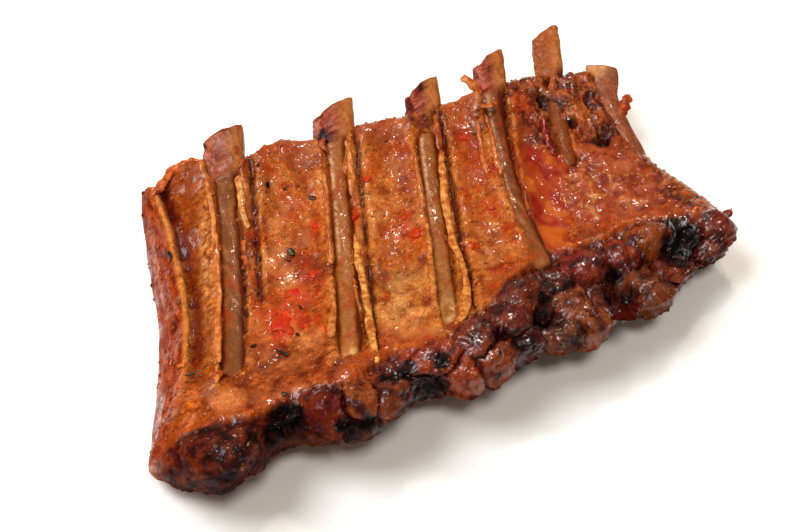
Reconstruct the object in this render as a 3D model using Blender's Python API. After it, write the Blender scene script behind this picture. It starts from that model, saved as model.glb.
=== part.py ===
"""Rack of ribs: one slab of cooked meat with six rib bones lying in its hollow side.

Metres, +Z up. The slab rests on z = 0 with the bone side up. +X runs along the rack, +Y points
to the side where the bone ends stick out, and -Y is the thick, lumpy chine side.
All tables and lengths below are in millimetres and are scaled once, in to_metres.
"""

import bpy
import bmesh
import math

MM = 0.001

# Plan position of the design axes inside the finished part (puts the box centre on the origin).
SHIFT_X = 26.887
SHIFT_Y = 9.42

# The hollow, bone side of the slab is an arch across the rack.
ARCH_LOW = 18.0          # height of the hollow above the table
ARCH_RATE = 0.0034       # rise per square millimetre of |y|

# The convex underside has a flat strip to rest on and lifts towards both long edges.
REST_NEAR = 28.0
REST_FAR = 20.0
LIFT_NEAR = 0.0062
LIFT_FAR = 0.0135

# Plan outline of the slab.
LEFT_X = -112.8
LEFT_SLANT = 0.235
LEFT_BEND = -0.0025
RIGHT_X = 79.5
RIGHT_BEND = 0.0065
RIGHT_SWELL = 6.5        # bulge of the narrow end near the chine side
NEAR_Y = -76.5
NEAR_TAPER = 19.0        # how far the chine side draws in towards the narrow end
FAR_Y = 53.5
FAR_STEP = 3.5           # the far edge steps in past the second rib
FAR_TAPER = 8.0
CORNER = 17.0            # rounding of the wide near corner and how far it reaches
CORNER_REACH = 22.0
# Where the two long edges bulge outwards: x, spread, how far.
NEAR_BULGES = [(35.0, 26.0, 4.0), (-66.0, 10.0, 2.5), (-117.0, 9.0, 3.0)]
FAR_BULGES = [(-92.0, 8.0, 5.0), (-53.0, 9.0, 2.5), (-22.0, 12.0, 2.0)]

# Slanted saw cut at the wide end.
CUT_FLARE = 12.0
CUT_FLARE_NEAR = 3.0

# Rounding of the slab's edges: reach of the rounding and its fullness.
NEAR_ROUND = 11.0
FAR_ROUND = 5.0
LEFT_ROUND = 3.0
RIGHT_ROUND = 8.0

# Towards the narrow end the chine side falls away from the arch.
FALL_DEPTH = 15.0
FALL_FROM = -43.0
FALL_TO = -72.0

# Mesh of the slab: points from edge to edge, offsets of the rings beside each bone, shares of the
# strip left of the first bone and right of the last one, and rings in the middle of each panel.
PATH = 27
BESIDE_BONE = (4.3, 6.2, 8.8)
LEFT_SHARES = (0.0, 0.07, 0.18, 0.31, 0.45)
RIGHT_SHARES = (0.45, 0.8, 1.0)
PANEL_RINGS = (4, 3, 3, 2, 3)

# Ribs: name, x at y = +45, x at y = 0, x at y = -40, y of the sawn tip, y of the buried root,
# half width of the shaft, half width of the tip, half height, how far the top sits below the arch,
# how far the saw cut falls back to the left (or to the right, below 0), bevel of its left corner.
RIBS = [
    ("rib_1", -79.3, -93.6, -107.0, 64.2, -46.0, 5.6, 8.2, 4.6, 0.3, -2.0, 1.8),
    ("rib_2", -34.2, -50.0, -65.0, 60.6, -55.0, 5.4, 9.2, 4.6, 0.3, 1.2, 2.4),
    ("rib_3", 4.2, -12.3, -28.0, 58.8, -58.0, 5.4, 8.2, 4.5, 0.4, 1.0, 4.0),
    ("rib_4", 34.8, 20.5, 10.5, 61.9, -44.0, 5.0, 7.8, 4.4, 0.8, 2.1, 1.6),
    ("rib_5", 62.6, 47.5, 37.0, 64.5, 2.0, 4.4, 6.2, 4.2, 0.6, 0.2, 0.5),
    ("rib_6", 84.6, 75.5, 71.0, 46.6, -8.0, 4.6, 4.7, 2.8, 1.7, -9.5, 0.3),
]
RIB_SIDES = 12
RIB_RINGS = 14
SEAT_GAP = 0.35          # clearance between a bone and its seat in the meat
TIP_FROM = 38.0          # bones widen over this stretch to their tips
TIP_FULL = 49.0
ROUNDNESS = 0.85         # exponent of the shaft's cross-section, and how much squarer the tip is
TIP_SQUARER = 0.4
TIP_WEDGE = 0.18         # the tip is a wedge: its right side is raised, its left facet cut low
TIP_FACET = 0.45

# Each bone lies in a trough with a raised fatty lip on both sides; the panels between are dished.
TROUGH_DEPTH = 2.6
TROUGH_SPREAD = 5.0
LIP_RISE = 1.5
LIP_OFFSET = 7.6
LIP_SPREAD = 2.4
PANEL_DIP = 1.2

# The strip outside the first bone has a shallow valley.
VALLEY_OFFSET = 15.0
VALLEY_SPREAD = 3.5
VALLEY_DEPTH = 1.8

# Lumps (+) and pits (-) of the chine side: x, y, z, radius, height.
LUMPS = [
    (-122.0, -68.0, 20.0, 17.0, 5.0),
    (-101.0, -75.0, 28.0, 7.0, -8.0),
    (-79.0, -76.0, 22.0, 15.0, 6.0),
    (-52.0, -75.0, 24.0, 6.5, -7.5),
    (-34.0, -76.0, 20.0, 15.0, 7.0),
    (-7.0, -55.0, 31.0, 11.0, 6.5),
    (-4.0, -69.0, 26.0, 6.0, -6.0),
    (7.0, -72.0, 18.0, 13.0, 5.0),
    (20.0, -55.0, 30.0, 9.0, 5.5),
    (27.0, -66.0, 22.0, 5.5, -4.5),
    (38.0, -68.0, 19.0, 10.0, 4.0),
    (51.0, -48.0, 27.0, 8.5, 4.5),
    (58.0, -57.0, 22.0, 7.0, -6.0),
    (76.0, -54.0, 20.0, 9.0, 3.5),
]

# Shallow hollow between the fourth rib and the fall of the chine side.
POCKET = (26.0, -22.0, 17.0, 2.2)


def smooth(low, high, value):
    """Smooth step from 0 at low to 1 at high."""
    t = (value - low) / (high - low)
    t = min(1.0, max(0.0, t))
    return t * t * (3.0 - 2.0 * t)


def bell(distance, spread):
    """Bell curve of height one."""
    return math.exp(-(distance / spread) ** 2)


def rib_x(rib, y):
    """Plan line of a rib: a parabola through its three given points, straight beyond them."""
    far, mid, near = rib[1], rib[2], rib[3]
    bend = ((far - mid) / 45.0 + (near - mid) / 40.0) / 85.0
    slope = (far - mid) / 45.0 - 45.0 * bend
    inside = min(45.0, max(-40.0, y))
    beyond = (y - inside) * (slope + 2.0 * bend * inside)
    return mid + slope * inside + bend * inside ** 2 + beyond


def rib_half_width(rib, y):
    """Half width of a rib along its length."""
    shaft, tip = rib[6], rib[7]
    return shaft + (tip - shaft) * smooth(TIP_FROM, TIP_FULL, y)


def rib_section(tipness, angle):
    """Cross-section of a bone at an angle: across and up, each from -1 to about 1."""
    power = ROUNDNESS - TIP_SQUARER * tipness
    across = math.copysign(abs(math.cos(angle)) ** power, math.cos(angle))
    up = math.copysign(abs(math.sin(angle)) ** power, math.sin(angle))
    if up > 0.0:
        facet = TIP_FACET * max(0.0, 0.15 - across)
        up *= 1.0 + tipness * (TIP_WEDGE * across - facet)
    return across, up


def arch(y):
    """Height of the hollow side."""
    return ARCH_LOW + ARCH_RATE * y * y


def left_edge(y):
    """Top edge of the wide end."""
    return LEFT_X + LEFT_SLANT * y + LEFT_BEND * y * y


def right_edge(y):
    """Edge of the narrow end."""
    return RIGHT_X + RIGHT_BEND * max(0.0, y) ** 2 + RIGHT_SWELL * bell(y + 36.0, 24.0)


def near_edge(x):
    """Plan line of the chine side."""
    taper = NEAR_TAPER * max(0.0, x / 80.0) ** 1.5
    corner = CORNER * max(0.0, 1.0 - (x - left_edge(-65.0)) / CORNER_REACH) ** 2
    bulge = sum(reach * bell(x - at, spread) for at, spread, reach in NEAR_BULGES)
    return NEAR_Y + taper + corner - bulge


def far_edge(x):
    """Plan line of the side where the bones come out."""
    step = FAR_STEP * smooth(-60.0, -35.0, x)
    taper = FAR_TAPER * max(0.0, (x - 50.0) / 40.0) ** 1.5
    bulge = sum(reach * bell(x - at, spread) for at, spread, reach in FAR_BULGES)
    return FAR_Y - step - taper + bulge


def slab_top(x, y):
    """Hollow side: arch, troughs and lips of the bones, dished panels and the chine fall."""
    z = arch(y)
    beside = 0.0
    trough = 0.0
    for rib in RIBS:
        along = smooth(rib[5] - 8.0, rib[5] + 4.0, y)
        off = abs(x - rib_x(rib, y))
        beside = max(beside, along * bell(off - LIP_OFFSET, LIP_SPREAD))
        trough = max(trough, along * bell(off, TROUGH_SPREAD))
    dish = (1.0 - beside) * (1.0 - trough) * smooth(-62.0, -42.0, y)
    z += LIP_RISE * beside - TROUGH_DEPTH * trough - PANEL_DIP * dish
    valley = bell(x - rib_x(RIBS[0], y) + VALLEY_OFFSET, VALLEY_SPREAD)
    z -= VALLEY_DEPTH * valley * smooth(-40.0, -15.0, y)
    z -= POCKET[3] * bell(math.hypot(x - POCKET[0], y - POCKET[1]), POCKET[2])
    narrow = smooth(-22.0, 20.0, x)
    z -= FALL_DEPTH * narrow * smooth(FALL_FROM, FALL_TO, y)
    return z


def slab_under(y):
    """Convex underside with its flat resting strip."""
    if y < -REST_NEAR:
        return LIFT_NEAR * (y + REST_NEAR) ** 2
    if y > REST_FAR:
        return LIFT_FAR * (y - REST_FAR) ** 2
    return 0.0


def edge_fullness(distance, reach):
    """Share of the full thickness left at a distance from an edge."""
    t = min(1.0, max(0.0, distance / reach))
    return math.sqrt(1.0 - (1.0 - t) ** 2)


def lump_push(x, y, z):
    """How far the chine side bulges at a point, along the outward direction."""
    push = 0.0
    for cx, cy, cz, radius, height in LUMPS:
        d = math.sqrt((x - cx) ** 2 + (y - cy) ** 2 + (z - cz) ** 2)
        push += height * bell(d, radius)
    return push


def ring_lines():
    """Lines along which the rings run: each is a left line, a right line, a share and an offset."""
    lines = [left_edge]
    for rib in RIBS:
        lines.append(lambda y, rib=rib: rib_x(rib, y))
    lines.append(right_edge)
    plan = [(lines[0], lines[1], share, 0.0) for share in LEFT_SHARES]
    for i in range(1, len(RIBS) + 1):
        plan += [(lines[i], lines[i], 0.0, -off) for off in reversed(BESIDE_BONE)]
        plan.append((lines[i], lines[i], 0.0, 0.0))
        if i == len(RIBS):
            plan += [(lines[i], lines[i + 1], share, 0.0) for share in RIGHT_SHARES]
            break
        plan += [(lines[i], lines[i], 0.0, off) for off in BESIDE_BONE]
        inner = PANEL_RINGS[i - 1]
        for k in range(inner):
            share = (k + 1) / (inner + 1)
            plan.append((lines[i], lines[i + 1], share, BESIDE_BONE[-1] * (1.0 - 2.0 * share)))
    return plan


def slab_point(line, v, upper):
    """Point of the slab on a ring line; v runs from the near edge to the far edge."""
    left, right, share, offset = line

    def line_x(y):
        return left(y) + (right(y) - left(y)) * share + offset

    spread = 0.5 - 0.5 * math.cos(math.pi * v)
    g = 0.42 * v + 0.58 * spread
    y_near = near_edge(line_x(-65.0))
    y_far = far_edge(line_x(50.0))
    y = y_near + (y_far - y_near) * g
    x = line_x(y)
    top = slab_top(x, y)
    under = slab_under(y)
    middle = 0.5 * (top + under)
    half = 0.5 * (top - under)
    from_left = x - left_edge(y)
    full = edge_fullness(y - y_near, NEAR_ROUND) * edge_fullness(y_far - y, FAR_ROUND)
    full *= 0.72 + 0.28 * edge_fullness(from_left, LEFT_ROUND)
    full *= 0.12 + 0.88 * edge_fullness(right_edge(y) - x, RIGHT_ROUND)
    z = middle + half * full if upper else middle - half * full
    if not upper and under == 0.0 and full > 0.97:
        z = 0.0
    flare = CUT_FLARE + CUT_FLARE_NEAR * smooth(20.0, -45.0, y)
    x -= flare * max(0.0, 1.0 - from_left / 22.0) * (top - z) / max(1.0, top)
    return x, y, z


def to_metres(x, y, z):
    """Design millimetres to the part's own frame."""
    return ((x + SHIFT_X) * MM, (y + SHIFT_Y) * MM, z * MM)


def build_slab():
    """Closed slab from rings of an upper and a lower path that meet at both long edges."""
    mesh = bmesh.new()
    rings = []
    for line in ring_lines():
        upper = [slab_point(line, i / (PATH - 1), True) for i in range(PATH)]
        lower = [slab_point(line, i / (PATH - 1), False) for i in range(1, PATH - 1)]
        ring = upper + lower[::-1]
        rings.append([mesh.verts.new(to_metres(*p)) for p in ring])
    count = len(rings[0])
    for a, b in zip(rings, rings[1:]):
        for i in range(count):
            j = (i + 1) % count
            mesh.faces.new((a[i], b[i], b[j], a[j]))
    for ring, flip in ((rings[0], False), (rings[-1], True)):
        for i in range(PATH - 1):
            quad = [ring[i], ring[i + 1], ring[(count - i - 1) % count], ring[(count - i) % count]]
            corners = list(dict.fromkeys(quad))
            if flip:
                corners.reverse()
            mesh.faces.new(corners)
    bmesh.ops.recalc_face_normals(mesh, faces=mesh.faces)
    mesh.normal_update()
    for vert in mesh.verts:
        x = vert.co.x / MM - SHIFT_X
        y = vert.co.y / MM - SHIFT_Y
        z = vert.co.z / MM
        push = lump_push(x, y, z) * smooth(-34.0, -50.0, y)
        vert.co += vert.normal * push * MM
    return mesh


def build_rib(rib, grow):
    """Bone as level slices of rounded cross-section; grow makes the cutter for its seat."""
    tip, root, half_height, sink = rib[4], rib[5], rib[8], rib[9]
    slant, bevel = rib[10], rib[11]
    mesh = bmesh.new()
    rings = []
    last = RIB_RINGS - 1
    for k in range(RIB_RINGS):
        t = k / last
        t = 0.6 * t + 0.4 * (0.5 - 0.5 * math.cos(math.pi * t))
        y = root + (tip - root) * t
        along = min(y - root, 9.0) / 9.0
        taper = 0.35 + 0.65 * math.sqrt(max(0.0, along * (2.0 - along)))
        blunt = 0.96 if k == last else 1.0
        tipness = smooth(TIP_FROM, TIP_FULL, y)
        wide = rib_half_width(rib, y) * taper * blunt + grow
        high = half_height * (0.45 + 0.55 * taper) * blunt + grow
        x0 = rib_x(rib, y)
        z0 = arch(y) - sink - half_height
        if grow > 0.0 and k == 0:
            y -= grow
        if grow > 0.0 and k == last:
            y += 4.0
        near_tip = 0.0 if grow > 0.0 else smooth(tip - 12.0 - abs(slant), tip, y)
        ring = []
        for i in range(RIB_SIDES):
            across, up = rib_section(tipness, 2.0 * math.pi * i / RIB_SIDES)
            back = 0.5 * (abs(slant) - slant * across) + bevel * max(0.0, -across - 0.1)
            place = to_metres(x0 + wide * across, y - back * near_tip, z0 + high * up)
            ring.append(mesh.verts.new(place))
        rings.append(ring)
    for a, b in zip(rings, rings[1:]):
        for i in range(RIB_SIDES):
            j = (i + 1) % RIB_SIDES
            mesh.faces.new((a[i], b[i], b[j], a[j]))
    mesh.faces.new(rings[0])
    mesh.faces.new(rings[-1][::-1])
    return mesh


def make_object(name, mesh, material):
    """Turn a bmesh into a named object with outward normals and smooth shading."""
    bmesh.ops.recalc_face_normals(mesh, faces=mesh.faces)
    data = bpy.data.meshes.new(name)
    mesh.to_mesh(data)
    mesh.free()
    for polygon in data.polygons:
        polygon.use_smooth = True
    thing = bpy.data.objects.new(name, data)
    bpy.context.scene.collection.objects.link(thing)
    if material is not None:
        data.materials.append(material)
    return thing


def make_material(name, color, roughness):
    """Plain Principled material."""
    material = bpy.data.materials.new(name)
    material.use_nodes = True
    shader = material.node_tree.nodes["Principled BSDF"]
    shader.inputs["Base Color"].default_value = (*color, 1.0)
    shader.inputs["Roughness"].default_value = roughness
    shader.inputs["Metallic"].default_value = 0.0
    material.diffuse_color = (*color, 1.0)
    return material


def build():
    """Make the slab, the bones and the seats the bones lie in."""
    for thing in list(bpy.data.objects):
        bpy.data.objects.remove(thing)
    meat_look = make_material("meat", (0.36, 0.09, 0.03), 0.35)
    bone_look = make_material("bone", (0.34, 0.13, 0.055), 0.5)
    slab = make_object("meat", build_slab(), meat_look)
    for rib in RIBS:
        make_object(rib[0], build_rib(rib, 0.0), bone_look)
        cutter = make_object(rib[0] + "_seat_cutter", build_rib(rib, SEAT_GAP), None)
        cutter.hide_render = True
        cutter.display_type = "WIRE"
        seat = slab.modifiers.new(rib[0] + "_seat", "BOOLEAN")
        seat.operation = "DIFFERENCE"
        seat.solver = "EXACT"
        seat.object = cutter


build()
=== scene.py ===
"""Looks of the rack of ribs: cooked meat, bones, shreds of membrane and toppings.

Lengths in the tables are design millimetres; MM and SHIFT take them into the part's own frame.
"""
import bmesh
import bpy
import math
import numpy as np
from mathutils import Matrix
from mathutils import Vector
from mathutils.kdtree import KDTree

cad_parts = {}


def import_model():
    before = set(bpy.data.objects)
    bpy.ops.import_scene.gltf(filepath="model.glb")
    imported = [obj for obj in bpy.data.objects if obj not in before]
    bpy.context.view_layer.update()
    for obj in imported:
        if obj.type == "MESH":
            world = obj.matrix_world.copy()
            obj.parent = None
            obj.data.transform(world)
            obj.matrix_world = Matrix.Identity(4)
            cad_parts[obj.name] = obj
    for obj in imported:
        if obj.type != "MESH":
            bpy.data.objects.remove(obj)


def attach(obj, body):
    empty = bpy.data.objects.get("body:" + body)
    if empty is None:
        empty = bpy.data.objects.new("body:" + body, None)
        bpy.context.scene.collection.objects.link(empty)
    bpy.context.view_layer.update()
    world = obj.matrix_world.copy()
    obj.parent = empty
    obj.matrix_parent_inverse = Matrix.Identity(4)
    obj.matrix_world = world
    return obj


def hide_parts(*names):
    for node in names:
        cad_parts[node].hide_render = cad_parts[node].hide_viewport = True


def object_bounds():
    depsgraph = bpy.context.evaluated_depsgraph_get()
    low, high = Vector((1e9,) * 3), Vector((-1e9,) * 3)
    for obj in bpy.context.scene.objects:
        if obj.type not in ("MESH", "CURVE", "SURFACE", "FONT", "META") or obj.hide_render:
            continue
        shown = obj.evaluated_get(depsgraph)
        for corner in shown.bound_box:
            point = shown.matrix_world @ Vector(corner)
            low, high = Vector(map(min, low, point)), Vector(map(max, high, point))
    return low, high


MM = 0.001
SHIFT = np.array([26.887, 9.42, 0])
SEED = 7

# ---------------------------------------------------------------- mesh density
# Steps of the slab's columns near the bones and elsewhere, rows across it, rings of a bone, and the
# numbers of grains and drops.
COL_FINE = 0.52
COL_PLAIN = 0.8
FINE_REACH = 10
EDGE_COLS = 15
ROW_STEP = 0.85
NEAR_ROWS = 30
FAR_ROWS = 8
SLAB_ACROSS = 126
BONE_RINGS = 150
BONE_SIDES = 64
GRAINS = 2400
DROPS = 1300

# ---------------------------------------------------------------- the frame's own dimensions
# Height of the arch along the middle, flat resting strip and the lift of the underside beside it.
ARCH_LOW = 18
ARCH_RATE = 0.0034
REST_NEAR = 28
REST_FAR = 20
LIFT_NEAR = 0.0062
LIFT_FAR = 0.0135
# Outline in plan: wide end, narrow end, near (chine) edge, far edge, near left corner.
LEFT_X = -112.8
LEFT_SLANT = 0.235
LEFT_BEND = -0.0025
RIGHT_X = 79.5
RIGHT_BEND = 0.0065
RIGHT_SWELL = 6.5
NEAR_Y = -76.5
NEAR_TAPER = 19
FAR_Y = 53.5
FAR_STEP = 3.5
FAR_TAPER = 8
CORNER = 17
CORNER_REACH = 22
# Bulges of both long edges: x, half width, reach.
NEAR_BULGES = [(35, 26, 4), (-66, 10, 2.5), (-117, 9, 3)]
FAR_BULGES = [(-92, 8, 5), (-53, 9, 2.5), (-22, 12, 2)]
# Slope of the cut face, radii of the four edges, fall of the chine edge at the narrow end.
CUT_FLARE = 12
FLARE_REACH = 22
CUT_FLARE_NEAR = 3
NEAR_ROUND = 11
FAR_ROUND = 5
LEFT_ROUND = 3
RIGHT_ROUND = 8
FALL_DEPTH = 15
FALL_FROM = -43
FALL_TO = -72
# Where a bone widens to its tip, dip between the bones, greatest height and how softly it ends,
# where the smooth knob of the chine side begins.
TIP_FROM = 38
TIP_FULL = 49
PANEL_DIP = 1.2
CEILING = 35.3
CEILING_ROOM = 2.4
KNOB_EDGE = (-100, -112)

LINE_FAR = 45
LINE_NEAR = 40
# Ribs: x at y = LINE_FAR, 0 and -LINE_NEAR, y of tip and root, half width of shaft and tip, half
# height, sink, slant and left bevel of the sawn end.
RIBS = [
    (-79.3, -93.6, -107, 64.2, -46, 5.6, 8.2, 4.6, 0.3, -2, 1.8),
    (-34.2, -50, -65, 60.6, -55, 5.4, 9.2, 4.6, 0.3, 1.2, 2.4),
    (4.2, -12.3, -28, 58.8, -58, 5.4, 8.2, 4.5, 0.4, 1, 4),
    (34.8, 20.5, 10.5, 61.9, -44, 5, 7.8, 4.4, 0.8, 2.1, 1.6),
    (62.6, 47.5, 37, 64.5, 2, 4.4, 6.2, 4.2, 0.6, 0.2, 0.5),
    (84.6, 75.5, 71, 46.6, -8, 4.6, 4.7, 2.8, 1.7, -9.5, 0.3),
]

# How much of each bone the meat leaves open: at each y, the left and the right edge of the opening
# measured from the bone's own line.
OPEN = [
    ((-42, -36, -20, 10, 30, 45, 50), (-4.6, -4.4, -3.3, -3.1, -3, -3.6, -7),
     (3.4, 3.6, 3.2, 3.1, 3.2, 3.6, 6.5)),
    ((-54, -38, -20, 5, 20, 37, 45, 50), (-3.4, -4.5, -3.6, -3.8, -2.7, -2.8, -4.4, -7),
     (4, 3.9, 1.2, 2, 1.5, 1.6, 4.4, 6.5)),
    ((-56, -38, -10, 8, 18, 34, 38, 47, 50), (-2.6, -3.1, -2, -2.6, -3.4, -4.2, -0.6, -0.6, -6.5),
     (2.4, 3.4, 1.6, 2.4, 3.2, 4.4, 0.6, 0.6, 6.5)),
    ((-30, -12, 8, 25, 42, 50), (-1.2, -1.2, -1.4, -1.7, -3.6, -6.5),
     (0.4, 1.6, 2.6, 3.4, 3.8, 6)),
    ((8, 11, 16, 20, 23, 47, 51), (-0.5, -1.4, -1.7, -1.6, -0.2, -0.4, -5.5),
     (0.5, 1.3, 1.7, 1.6, 0.2, 0.4, 5.5)),
    ((14, 20, 28, 36, 44), (-0.5, -1.6, -3.2, -3.6, -4), (0.5, 2, 3.6, 4.4, 4.6)),
]
# Bones that the meat closes over again: bone, y from, y to.
COVERED = [(0, -99, -39.5), (4, 21, 49.5), (2, 34, 49), (4, -9, 11), (5, -19, 19)]


def smooth(low, high, value):
    t = np.clip((value - low) / (high - low), 0, 1)
    return t * t * (3 - 2 * t)


def bell(distance, spread):
    return np.exp(-(distance / spread) ** 2)


def unit(vectors, least=1e-9):
    return vectors / np.maximum(least, np.linalg.norm(vectors, axis=-1, keepdims=True))


def srgb(r, g, b):
    """Linear colour of an 8-bit display colour."""
    c = np.array([r, g, b]) / 255
    return np.where(c <= 0.04045, c / 12.92, ((c + 0.055) / 1.055) ** 2.4)


# ---------------------------------------------------------------- noise
GRADIENTS = np.array([
    (1, 1, 0), (-1, 1, 0), (1, -1, 0), (-1, -1, 0), (1, 0, 1), (-1, 0, 1),
    (1, 0, -1), (-1, 0, -1), (0, 1, 1), (0, -1, 1), (0, 1, -1), (0, -1, -1)], dtype=float)


def hashed(cell, seed):
    """Whole-number hash of integer cells."""
    h = cell[..., 0] * 374761393 + cell[..., 1] * 668265263 + cell[..., 2] * 1442695041
    h = (h + seed * 1274126177) & 0xFFFFFFFF
    h = ((h ^ (h >> 13)) * 1274126177) & 0xFFFFFFFF
    h = ((h ^ (h >> 15)) * 2246822519) & 0xFFFFFFFF
    return h ^ (h >> 16)


def perlin(p, seed):
    """Gradient noise, about -0.7 to 0.7."""
    base = np.floor(p).astype(np.int64)
    f = p - base
    u = f * f * f * (f * (f * 6 - 15) + 10)
    total = np.zeros(p.shape[:-1])
    for i in (0, 1):
        for j in (0, 1):
            for k in (0, 1):
                corner = np.array([i, j, k])
                g = GRADIENTS[hashed(base + corner, seed) % 12]
                w = np.prod(np.where(corner == 1, u, 1 - u), axis=-1)
                total += w * np.sum(g * (f - corner), axis=-1)
    return total


def fbm(p, size, octaves, seed, rough=0.5):
    """Layered noise, about -1 to 1; size is the largest feature in millimetres."""
    total = np.zeros(p.shape[:-1])
    amount = 1
    whole = 0
    q = p / size
    for n in range(octaves):
        total += amount * perlin(q + 17.3 * n, seed + n)
        whole += amount
        amount *= rough
        q = q * 2.03
    return 1.6 * total / whole


def drift(p, size, seed):
    """Three noises side by side, as a shift of each point."""
    return np.stack([fbm(p, size, 2, seed + k) for k in (0, 1, 2)], -1)


def ridged(p, size, octaves, seed):
    """Layered creases, 0 to 1, high on thin ridges."""
    total = np.zeros(p.shape[:-1])
    amount = 1
    whole = 0
    q = p / size
    for n in range(octaves):
        total += amount * (1 - np.minimum(1, 2.6 * np.abs(perlin(q + 9.1 * n, seed + n))))
        whole += amount
        amount *= 0.55
        q = q * 2.1
    return total / whole


def cells(p, size, seed):
    """Distances to the nearest and second nearest scattered point, and a random number per cell."""
    q = p / size
    base = np.floor(q).astype(np.int64)
    near = np.full(p.shape[:-1], 9.0)
    second = np.full(p.shape[:-1], 9.0)
    pick = np.zeros(p.shape[:-1])
    for i in (-1, 0, 1):
        for j in (-1, 0, 1):
            for k in (-1, 0, 1):
                cell = base + np.array([i, j, k])
                spot = np.stack([hashed(cell, seed + s) / 4294967295 for s in (0, 1, 2)], -1)
                d = np.linalg.norm(cell + spot - q, axis=-1)
                closer = d < near
                second = np.where(closer, near, np.minimum(second, d))
                pick = np.where(closer, spot[..., 0], pick)
                near = np.where(closer, d, near)
    return near, second, pick


# ---------------------------------------------------------------- distances
def around(p, cx, cy, cz):
    return np.sqrt((p[:, 0] - cx) ** 2 + (p[:, 1] - cy) ** 2 + (p[:, 2] - cz) ** 2)


def line_distance(x, y, path):
    """Distance in plan from a polyline."""
    best = np.full(x.shape, 99.0)
    for (ax, ay), (bx, by) in zip(path[:-1], path[1:]):
        length = (bx - ax) ** 2 + (by - ay) ** 2
        t = np.clip(((x - ax) * (bx - ax) + (y - ay) * (by - ay)) / length, 0, 1)
        best = np.minimum(best, np.hypot(x - ax - t * (bx - ax), y - ay - t * (by - ay)))
    return best


# ---------------------------------------------------------------- plan shape
def rib_x(i, y):
    far, mid, near = RIBS[i][0:3]
    bend = ((far - mid) / LINE_FAR + (near - mid) / LINE_NEAR) / (LINE_FAR + LINE_NEAR)
    slope = (far - mid) / LINE_FAR - LINE_FAR * bend
    inside = np.clip(y, -LINE_NEAR, LINE_FAR)
    beyond = (y - inside) * (slope + 2 * bend * inside)
    return mid + slope * inside + bend * inside ** 2 + beyond


def arch(y):
    return ARCH_LOW + ARCH_RATE * y * y


def left_edge(y):
    return LEFT_X + LEFT_SLANT * y + LEFT_BEND * y * y


def right_edge(y):
    return RIGHT_X + RIGHT_BEND * np.maximum(0, y) ** 2 + RIGHT_SWELL * bell(y + 36, 24)


def plan_line(k, y):
    """Line k of the plan: the wide end, the six ribs, the narrow end."""
    if k == 0:
        return left_edge(y)
    if k == 7:
        return right_edge(y)
    return rib_x(k - 1, y)


def near_edge(x):
    taper = NEAR_TAPER * np.maximum(0, x / 80) ** 1.5
    corner = CORNER * np.maximum(0, 1 - (x - left_edge(-65)) / CORNER_REACH) ** 2
    bulge = sum(reach * bell(x - at, spread) for at, spread, reach in NEAR_BULGES)
    return NEAR_Y + taper + corner - bulge


def far_edge(x):
    step = FAR_STEP * smooth(-60, -35, x)
    taper = FAR_TAPER * np.maximum(0, (x - 50) / 40) ** 1.5
    place = np.stack([x, 0 * x, 0 * x], axis=-1)
    bulge = sum(reach * bell(x - at, spread) for at, spread, reach in FAR_BULGES)
    return FAR_Y - step - taper + bulge + 1.6 * fbm(place, 11, 3, 3)


# ---------------------------------------------------------------- hollow side of the slab
# Fatty lips that run beside the bones: rib, y from, y to, offset at both ends, half width, height,
# how golden.
LIPS = [
    (0, -50, 54, -5.6, -7.4, 2.1, 1.9, 0.8),
    (0, 10, 50, 5.2, 6.2, 1.5, 2, 1),
    (0, -45, 8, 5.6, 5.6, 1.9, 1, 0.4),
    (0, -40, 48, 12.6, 13, 1.6, 0.9, 0.3),
    (1, -60, 54, -6, -7.2, 2.2, 1.6, 0.6),
    (1, 20, 48, 5.4, 6.4, 1.5, 1.7, 0.9),
    (1, -62, 4, 8.4, 5.2, 1.4, 2.1, 1.2),
    (1, -55, 44, 12, 11.6, 2, 1.1, 0.3),
    (2, -60, 46, -5.2, -6.4, 2, 1.5, 0.5),
    (2, -62, 24, 5.6, 5.4, 1.4, 1.9, 0.8),
    (2, -56, 34, 12.2, 9.6, 1.8, 1.2, 0.5),
    (3, -30, 48, -4.2, -6.8, 2.2, 1.7, 0.5),
    (3, -18, 44, 3.2, 8.2, 1.8, 1.4, 0.5),
]
# Narrow grooves, dented and darkened with painted shade: rib, y from, y to, offset at both ends, half
# width, depth.
GROOVES = [
    (0, -12, 50, 10.4, 10.6, 1.1, 2.6),
    (0, -34, 45, 4.3, 4.4, 1.1, 2.2),
    (1, -60, 46, 9.4, 8.8, 0.9, 1.8),
    (1, -52, 30, 5.4, 3.3, 0.9, 3),
    (2, -56, 42, 9.6, 7.2, 1, 2.6),
    (2, -40, 20, 4.2, 2.6, 0.6, 1.2),
    (3, -24, 46, 1.2, 5.2, 1, 2.8),
]
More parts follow.
